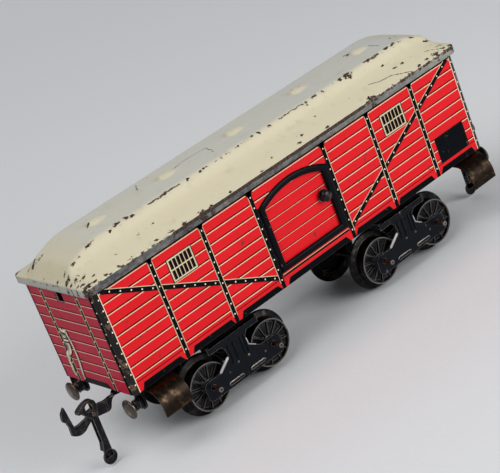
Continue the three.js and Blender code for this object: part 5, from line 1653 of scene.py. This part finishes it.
@dataclass
class Bogie:
    """Stamped bogie frame with folded edges, beads and rivets, and its two wheelsets."""

    top: float = 31.0
    sheet: float = 0.8
    half_width: float = 23.6
    bar_half: float = 14.4
    bar_depth: float = 3.4
    lug_half: float = 22.2
    lug_top: float = AXLE_HEIGHT + 3.6
    lug_low: float = AXLE_HEIGHT - 5.5
    lug_inner: float = 11.4
    lug_corner: float = 2.4
    neck: float = 5.6
    flare: float = 3.6
    first_spoke: float = 15.0
    pivot_hole: float = 2.3
    axle_radius: float = 1.0
    axle_play: float = 0.3
    axle_half: float = 28.9
    pressed: tuple[Point2, ...] = ((-4.4, 25.3), (0.9, 25.6), (-1.0, 21.4), (-0.4, 19.8),
                                   (-4.6, 18.4), (12.5, 11.0))
    rubbed: tuple[Point2, ...] = ((-2.0, 17.0), (4.1, 16.9), (12.5, 13.4))
    wheel: SpokedWheel = field(default_factory=SpokedWheel)

    def build(self) -> None:
        """Makes both bogies with their wheels and axles."""
        for tag, sign in ENDS:
            place = Matrix.Translation((sign * BOGIE_PIVOT, 0, 0))
            frame_piece = self.frame().turned(place).object(
                f"stamped_bogie_{tag}", [Finish.BLACK], soften=0.16)
            mount(frame_piece, f"bogie_{tag}", [f"bogie_frame_{tag}"])
            details = self.details().turned(place).object(
                f"bogie_beads_{tag}", [Finish.BLACK, Finish.BRONZED, Finish.BRIGHT_STEEL_PAINTED_REFLECTION, Finish.RING],
                sharp=60)
            mount(details, f"bogie_{tag}")
            for kind, spots, radius, finish in (
                    ("pressed", self.pressed, 0.5, Finish.BLACK),
                    ("rubbed", self.rubbed, 0.64, Finish.RING)):
                heads = [(place @ p, n) for p, n in self.rivet_places(spots)]
                mount(rivet_rows(f"{kind}_rivets_{tag}", heads, radius, 0.45, finish, 14),
                      f"bogie_{tag}")
            for half, where in HALVES:
                centre = Vector((sign * BOGIE_PIVOT + where * HALF_WHEELBASE, 0, AXLE_HEIGHT))
                body = f"wheelset_{tag}{half}"
                self.axle(f"axle_{tag}{half}", body, centre)
                for side in ("near", "far"):
                    self.wheel.build(f"wheel_{tag}{half}_{side}", body, centre, side == "far",
                                     self.first_spoke)

    def side_outline(self) -> list[Point2]:
        """Side plate about the pivot, in X and Z."""
        bar_low = self.top - self.bar_depth
        waist, neck = self.lug_top + self.flare, self.neck
        corner = self.lug_corner
        edge = self.lug_half - corner
        right = [(self.bar_half, self.top), (self.bar_half, bar_low), (7.5, bar_low),
                 (6.0, waist + 4.4), (neck, waist + 2), (neck, waist),
                 (self.lug_inner, self.lug_top)]
        right += arc((edge, self.lug_top - corner), corner, 90, 0, 6)
        right += arc((edge, self.lug_low + corner), corner, 0, -90, 6)
        left = [(-x, z) for x, z in reversed(right)]
        return right + left

    def frame(self) -> Workpiece:
        """Top plate and two side plates with the axle holes."""
        piece, side = Workpiece(), Workpiece()
        ends = [(self.bar_half, self.half_width - 1.0), (self.bar_half - 1.0, self.half_width)]
        plan = [(sx * x, sy * y) for sx, sy in QUARTERS
                for x, y in (ends if sx * sy > 0 else reversed(ends))]
        piece.plate(plan, self.top - self.sheet, self.top, Plane.LEVEL,
                    [circle((0, 0), self.pivot_hole)])
        holes = [circle((end * HALF_WHEELBASE, AXLE_HEIGHT), self.axle_radius + self.axle_play)
                 for end in (-1, 1)]
        outside = -self.half_width
        side.plate(self.side_outline(), outside, outside + self.sheet, Plane.SIDE, holes)
        rise, run = self.flare, self.lug_inner - self.neck
        length = math.hypot(rise, run)
        nx, nz = rise / length * self.sheet, run / length * self.sheet
        for end in (-1, 1):
            fold = [(end * self.neck, self.lug_top + rise), (end * self.lug_inner, self.lug_top),
                    (end * (self.lug_inner - nx), self.lug_top - nz),
                    (end * (self.neck - nx), self.lug_top + rise - nz)]
            side.plate(fold, outside + self.sheet - 0.2, outside + 2, Plane.SIDE)
        piece.add(side.twinned())
        return piece

    def details(self) -> Workpiece:
        """Beads pressed into the side plates, the rubbed strips along their folds, and bright
        steel scratches whose near white colour is a painted reflection.
        """
        side = Workpiece()
        black, bronzed, steel, grey = range(4)
        face = -self.half_width
        foot, head = AXLE_HEIGHT + 4.4, self.top - self.bar_depth - 1.2
        for x in (-4.0, -1.2, 3.0, 5.0):
            side.rod([(x, face, foot), (x, face, head)], 0.55, coat=black)
        low = self.lug_low + 2
        for x0, x1 in ((-9.5, -2.3), (3.3, 10.5)):
            side.rod([(x0, face, low), (x1, face, low)], 0.9, coat=grey, flat=0.3)
            side.rod([(x0, face, low), (x1, face, low - 0.1)], 0.62, coat=bronzed, flat=0.8)
        # bright steel scratches; their near white colour is a painted reflection
        side.rod([(-6.4, face, 21.6), (-12.0, face, 17.9)], 0.72, coat=steel, flat=0.5)
        side.rod([(5.7, face, 24.4), (6.0, face, 21.2), (9.2, face, 19.1)], 0.3, coat=steel)
        return side.twinned()

    def rivet_places(self, spots: Sequence[Point2]) -> list[tuple[Vector, Vector]]:
        """Feet of rivets on both side plates, from their places on the near one."""
        places = []
        for x, z in spots:
            places.append((Vector((x, -self.half_width, z)), Vector((0, -1, 0))))
            places.append((Vector((-x, self.half_width, z)), Vector((0, 1, 0))))
        return places

    def axle(self, name: str, body: str, centre: Vector) -> None:
        """Axle with its ends centre drilled, on its wheelset's body."""
        piece = Workpiece()
        end, r = self.axle_half, self.axle_radius
        half = [(0, end - 0.9), (0.35, end - 0.35), (0.6, end), (r - 0.2, end), (r, end - 0.2),
                (r, 21.7), (r - 0.1, 21.4)]
        piece.spin(mirrored(half), centre, "Y", 28)
        ring = [(0.5, end - 0.3), (r + 0.1, end - 0.3), (r + 0.1, end - 0.05), (0.55, end + 0.04)]
        for axis in ("Y", "-Y"):
            piece.spin(ring, centre, axis, 28, 1)
        mount(piece.object(f"turned_{name}", [Finish.RUSTY, Finish.RING], sharp=50), body,
              [name])


# ---------------------------------------------------------------- buffers and steps
@dataclass
class Buffer:
    """Turned sleeve on the floor's lug and a sprung plunger with a domed head."""

    lug_x: float = 105.0
    spread: float = 22.0
    height: float = FLOOR_HEIGHT - 6.2
    crown: float = 7.4
    head: float = 4.5

    def build(self) -> None:
        """Makes all four buffers."""
        for tag, sign in ENDS:
            axis = "X" if sign > 0 else "-X"
            for half, across in HALVES:
                centre = (sign * self.lug_x, sign * across * self.spread, self.height)
                for kind, profile, finish, body, slot in (
                        ("sleeve", self.sleeve_profile(), Finish.BROWNED, "car",
                         "browned_steel"),
                        ("plunger", self.plunger_profile(), Finish.NICKEL,
                         f"buffer_{tag}{half}", "worn_nickel")):
                    piece = Workpiece()
                    piece.spin(profile, centre, axis, 40)
                    turned = piece.object(f"turned_{kind}_{tag}{half}", [finish], sharp=50)
                    mount(turned, body, [f"buffer_{kind}_{tag}{half}"])

    def sleeve_profile(self) -> list[Point2]:
        """Radius and place from the lug: foot, neck, ring and open mouth."""
        return [(0.95, 0.3), (2.7, 0.3), (2.9, 0.5), (2.9, 0.9), (2.7, 1.1), (2.15, 1.2),
                (2.05, 1.6), (2.3, 1.75), (2.35, 2.0), (2.3, 2.2), (2.05, 2.35), (2.1, 2.6),
                (2.3, 2.7), (2.4, 2.85), (2.4, 3.2), (2.25, 3.4), (1.62, 3.4), (1.62, 0.95),
                (0.95, 0.95)]

    def plunger_profile(self) -> list[Point2]:
        """Radius and place from the lug: nut, tail, stem and domed head."""
        back = self.crown - 1.9
        dome = [(self.head * math.cos(math.radians(t)),
                 self.crown - 1.3 + 1.3 * math.sin(math.radians(t))) for t in
                (0, 12, 25, 38, 52, 66, 80)]
        return [(0, -1.9), (1.3, -1.9), (1.5, -1.75), (1.5, -1.25), (1.4, -1.1), (0.8, -1.1),
                (0.8, 3.0), (1.3, 3.0), (1.3, back - 0.5), (1.7, back), (self.head - 0.3, back),
                (self.head, back + 0.25), *dome, (0, self.crown)]


@dataclass
class CornerStep:
    """Step bent from strip: a tab under the floor, a quarter round and an upright face."""

    inner: float = 89.0
    outer: float = 103.5
    sheet: float = 0.7
    reach: float = 9.0
    curve_drop: float = 8.5
    drop: float = 12.0
    tab: float = 7.0
    bends: int = 14

    def build(self) -> None:
        """Makes the four steps."""
        for first, (_, turn) in zip((1, 3), SIDES):
            for tag, low in ((first, -self.outer), (first + 1, self.inner)):
                piece = Workpiece()
                piece.plate(self.outline(), low, low + self.outer - self.inner, Plane.CROSS)
                step = piece.turned(turn).object(f"bent_step_{tag}", [Finish.BRONZED],
                                                 soften=0.14, sharp=30)
                mount(step, "car", [f"corner_step_{tag}"])

    def outline(self) -> list[Point2]:
        """Section across the wagon at the -Y side."""
        top = FLOOR_HEIGHT - 0.3
        outer, inner = [], []
        for i in range(self.bends + 1):
            turn = (i / self.bends) * math.pi / 2
            y = -HALF_WIDTH - self.reach * math.sin(turn)
            z = top - self.curve_drop * (1 - math.cos(turn))
            slope = math.atan2(self.curve_drop * math.sin(turn), self.reach * math.cos(turn))
            outer.append((y, z))
            inner.append((y + self.sheet * math.sin(slope), z - self.sheet * math.cos(slope)))
        low = top - self.drop
        edge = -HALF_WIDTH - self.reach
        foot = [(edge, low), (edge + self.sheet, low)]
        back = (-HALF_WIDTH + self.tab, top)
        return [back, *outer, *foot, *reversed(inner), (back[0], top - self.sheet)]


# ---------------------------------------------------------------- coupling
@dataclass
class ClawCoupling:
    """Drawbar twisted into an upright barbed hook, and the pinned claw lever over it."""

    pivot: float = 94.5
    width: float = 5.5
    thick: float = 1.2
    eye_hole: float = 1.8
    pin_hole: float = 1.0
    strip_z: float = 28.0
    flat_end: float = 102.0
    twist_end: float = 109.5
    drop: float = 3.2
    lever_x: float = 117.0
    lever_z: float = 26.0
    lever_sheet: float = 0.6
    gap: float = 1.8
    legs: float = 1.4
    lean: float = 0.4
    foot: float = 4.0
    bridge_drop: float = 14.0
    bridge_depth: float = 3.7
    bob: tuple[float, float, float] = (0.95, -21.5, 3.4)
    # outlines about the end of the twist, and about the lever's pin
    hook_back: tuple[Point2, ...] = ((0.7, 2.75), (3.5, 3.4), (7.5, 3.2), (9.7, 2.1), (11.3, 1.0),
                                     (13.1, 0.7), (16.0, 0.4), (17.7, 0.8))
    hook_nose: tuple[Point2, ...] = ((18.5, 11.0), (18.9, 11.0), (20.9, 9.0), (21.5, 6.7),
                                     (21.4, 5.4), (20.3, 4.3), (19.8, 1.8), (20.0, -0.2),
                                     (20.1, -2.3), (18.9, -3.2))
    hook_belly: tuple[Point2, ...] = ((18.9, -3.2), (16.7, -4.2), (13.8, -4.0), (11.1, -2.5),
                                      (8.2, -1.3), (4.5, -1.95), (0.7, -2.75))
    claw_crown: tuple[Point2, ...] = ((-2.9, 2.6), (-2.5, 5.0), (-0.9, 6.2), (1.6, 6.3),
                                      (4.3, 5.5), (6.5, 4.3))
    claw_under: tuple[Point2, ...] = ((6.7, 3.1), (5.0, 2.7), (4.2, 1.3))
    claw_eye: tuple[Point2, ...] = ((-0.5, 1.8), (2.3, 1.8), (2.8, 3.4), (2.6, 4.7), (1.1, 5.5),
                                    (-0.2, 4.8), (-0.6, 3.4), (-0.5, 1.8))

    def build(self) -> None:
        """Makes the couplings of both ends."""
        for tag, (_, turn) in zip("12", reversed(SIDES)):
            hook = self.hook().turned(turn).object(f"barbed_hook_{tag}", [Finish.BROWNED],
                                                   soften=0.2, sharp=30)
            mount(hook, f"coupling_{tag}", [f"drawbar_hook_{tag}"])
            lever = self.lever().turned(turn).object(f"folded_claw_{tag}", [Finish.BROWNED],
                                                     soften=0.16, sharp=30)
            mount(lever, f"lever_{tag}", [f"claw_lever_{tag}"])
            pin = Workpiece()
            cheek = self.gap / 2 + self.lever_sheet + 0.3
            half = [(0, cheek + 0.5), (0.7, cheek + 0.47), (1.1, cheek + 0.3), (1.2, cheek),
                    (0.7, cheek)]
            pin.spin(mirrored(half), (self.lever_x, 0, self.lever_z), "Y", 24)
            mount(pin.turned(turn).object(f"turned_pin_{tag}", [Finish.NICKEL], sharp=50),
                  f"coupling_{tag}", [f"lever_pin_{tag}"])

    @staticmethod
    def _about(x: float, z: float, points: Iterable[Point2]) -> list[Point2]:
        """Points of an outline, moved to the place that they are counted from."""
        return [(x + u, z + v) for u, v in points]

    def hook_outline(self) -> list[Point2]:
        """Hook in X and Z, from the end of the twist round its nose."""
        half = self.width / 2
        shank = [(-0.4, -half), (-0.4, half)]
        outline = [*shank, *smooth_path(self.hook_back), *self.hook_nose[:-1],
                   *smooth_path(self.hook_belly)]
        return self._about(self.twist_end, self.strip_z - self.drop, outline)

    def hook(self) -> Workpiece:
        """Strip with its eye, its quarter turn and the hook."""
        piece = Workpiece()
        half, side = self.thick / 2, self.width / 2
        loops = []
        stations = 24
        for i in range(-1, stations + 2):
            share = min(1.0, max(0.0, i / stations))
            ease = share * share * (3 - 2 * share)
            x = self.flat_end + share * (self.twist_end - self.flat_end)
            x = self.pivot + 1.5 if i < 0 else x + (0.5 if i > stations else 0)
            roll, z = ease * math.pi / 2, self.strip_z - self.drop * ease
            loop = []
            for a, b in ((-1, -1), (1, -1), (1, 1), (-1, 1)):
                across, up = a * side, b * half
                loop.append(Vector((x, across * math.cos(roll) - up * math.sin(roll),
                                    z + across * math.sin(roll) + up * math.cos(roll))))
            loops.append(loop)
        piece.loft(loops)
        neck = self.pivot + 3.0
        eye = [*arc((self.pivot, 0), side, 35, 325, 20), (neck, -side + 0.01),
               (neck, side - 0.01)]
        piece.plate(eye, self.strip_z - half, self.strip_z + half, Plane.LEVEL,
                    [circle((self.pivot, 0), self.eye_hole)])
        piece.plate(self.hook_outline(), -half, half, Plane.SIDE,
                    [circle((self.lever_x, self.lever_z), self.pin_hole)])
        return piece

    def lever(self) -> Workpiece:
        """Two cheeks joined by the folded crown and the bridge, and the round weight."""
        piece = Workpiece()
        inner, outer = self.gap / 2, self.gap / 2 + self.lever_sheet
        crown = smooth_path(self.claw_crown)
        back, front = self.lean - self.legs, self.legs + self.lean
        bridge, foot = -self.bridge_drop, self.bob[1]
        head = [(-self.legs, -2.3), *crown, *self.claw_under, (self.legs, -2.3)]
        long_leg = [(front, bridge), (self.foot, foot), (back, foot)]
        low = bridge - self.bridge_depth
        edge = front + (self.foot - front) * self.bridge_depth / (bridge - foot)
        short_leg = [(front, bridge), (edge, low), (back, low)]
        holes = [self._about(self.lever_x, self.lever_z, smooth_path(self.claw_eye)[:-1]),
                 arc((self.lever_x, self.lever_z), self.pin_hole, 0, 345, 15)]
        for leg, near, far in ((long_leg, inner, outer), (short_leg, -outer, -inner)):
            outline = self._about(self.lever_x, self.lever_z, [*head, *leg])
            piece.plate(outline, near, far, Plane.SIDE, holes)
        block = [(back, bridge), *short_leg]
        top = [p for p in crown if p[0] > -2.2 and p[1] > 4.2]
        under = []
        for u, v in top:
            across, up = u - 1.5, v - 2.2      # from the middle of the crown's curve
            reach = math.hypot(across, up)
            under.append((u - self.lever_sheet * across / reach,
                          v - self.lever_sheet * up / reach))
        fold = [*top, (6.7, 3.1), (6.0, 2.9), *reversed(under)]
        for outline in (block, fold):
            piece.plate(self._about(self.lever_x, self.lever_z, outline), -inner - 0.1,
                        inner + 0.1, Plane.SIDE)
        x, z, radius = self.bob
        piece.plate(circle((self.lever_x + x, self.lever_z + z), radius, 36), inner, outer,
                    Plane.SIDE)
        return piece


# ---------------------------------------------------------------- carried-over solids
class Solids:
    """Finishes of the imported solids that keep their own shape."""

    coats: dict[str, Finish] = {
        "floor_pan": Finish.CHASSIS, "door_a": Finish.RED, "door_b": Finish.RED,
        "bogie_stud": Finish.BROWNED, "door_guide": Finish.TIN, "coupling_post": Finish.BROWNED,
    }

    def dress(self) -> None:
        """Gives each solid that is still shown its own finish."""
        for name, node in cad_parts.items():
            for start, finish in self.coats.items():
                if name.startswith(start):
                    node.data.materials.clear()
                    node.data.materials.append(finish.paint())
                    LOG.info("%s in %s", name, finish.value.name)


# ---------------------------------------------------------------- studio
@dataclass
class Studio:
    """Pale floor, soft lamps and the camera of the photograph."""

    place: tuple[float, float, float] = (-396.99, -611.65, 343.12)
    focal: float = 126.54
    right: tuple[float, float, float] = (0.715049, -0.611449, -0.338873)
    down: tuple[float, float, float] = (-0.494785, -0.100211, -0.863218)
    ahead: tuple[float, float, float] = (0.493856, 0.784912, -0.374191)
    # name, middle in millimetres, side in metres and output in watts
    lamps: tuple[tuple[str, tuple[float, float, float], float, float], ...] = (
        ("key", (500, -1150, 520), 0.9, 12.0), ("high", (-700, -200, 1150), 1.0, 9.2),
        ("back", (350, 1000, 700), 1.2, 2.4))

    def build(self) -> None:
        """Makes the floor, the lights and the camera."""
        self.floor()
        self.world()
        for lamp in self.lamps:
            self.lamp(*lamp)
        self.camera()

    def floor(self) -> None:
        """Wide level floor under the wheels."""
        mesh = bpy.data.meshes.new("studio_floor")
        reach = 6.0
        corners = [(-reach, -reach, 0), (reach, -reach, 0), (reach, reach, 0), (-reach, reach, 0)]
        mesh.from_pydata(corners, [], [(0, 1, 2, 3)])
        mesh.materials.append(StudioPaper().material())
        linked("studio_floor", mesh)

    def world(self) -> None:
        """Even white surroundings."""
        world = bpy.data.worlds.new("studio")
        world.use_nodes = True
        world.node_tree.nodes.clear()
        sky = add_node(world.node_tree, "ShaderNodeBackground", {
            "Color": linear("F4F6F8"), "Strength": 0.2})
        add_node(world.node_tree, "ShaderNodeOutputWorld", {"Surface": sky.outputs[0]})
        bpy.context.scene.world = world

    def lamp(self, name: str, place: Sequence[float], size: float, power: float) -> None:
        """Adds a square soft box that faces the wagon.

        Args:
            name: its name.
            place: its middle, in millimetres.
            size: its side, in metres.
            power: its output, in watts.
        """
        light = bpy.data.lights.new(name, "AREA")
        light.shape = "SQUARE"
        light.size = size
        light.energy = power
        lamp = linked(name, light)
        lamp.location = Vector(place) * MM
        aim = Vector((0, 0, 0.05)) - lamp.location
        lamp.rotation_euler = aim.to_track_quat("-Z", "Y").to_euler()

    def camera(self) -> None:
        """Camera where the photograph was taken from."""
        camera = bpy.data.cameras.new("photograph")
        camera.sensor_fit = "HORIZONTAL"
        camera.sensor_width = 36.0
        camera.lens = self.focal
        camera.clip_end = 50.0
        holder = linked("photograph", camera)
        axes = (Vector(self.right), -Vector(self.down), -Vector(self.ahead))
        turn = Matrix(axes).transposed().to_4x4()
        holder.matrix_world = Matrix.Translation(Vector(self.place) * MM) @ turn
        bpy.context.scene.camera = holder


def main() -> None:
    """Builds the wagon and its studio."""
    logging.basicConfig(level=logging.INFO, format="%(message)s")
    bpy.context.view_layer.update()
    bpy.context.scene.view_settings.view_transform = "Standard"
    for assembly in (PrintedBody(), PressedRoof(), SlidingDoor(), Bogie(), Buffer(),
                     CornerStep(), ClawCoupling()):
        LOG.info("%s", type(assembly).__name__)
        assembly.build()
    Solids().dress()
    Studio().build()


if __name__ == "__main__":
    main()
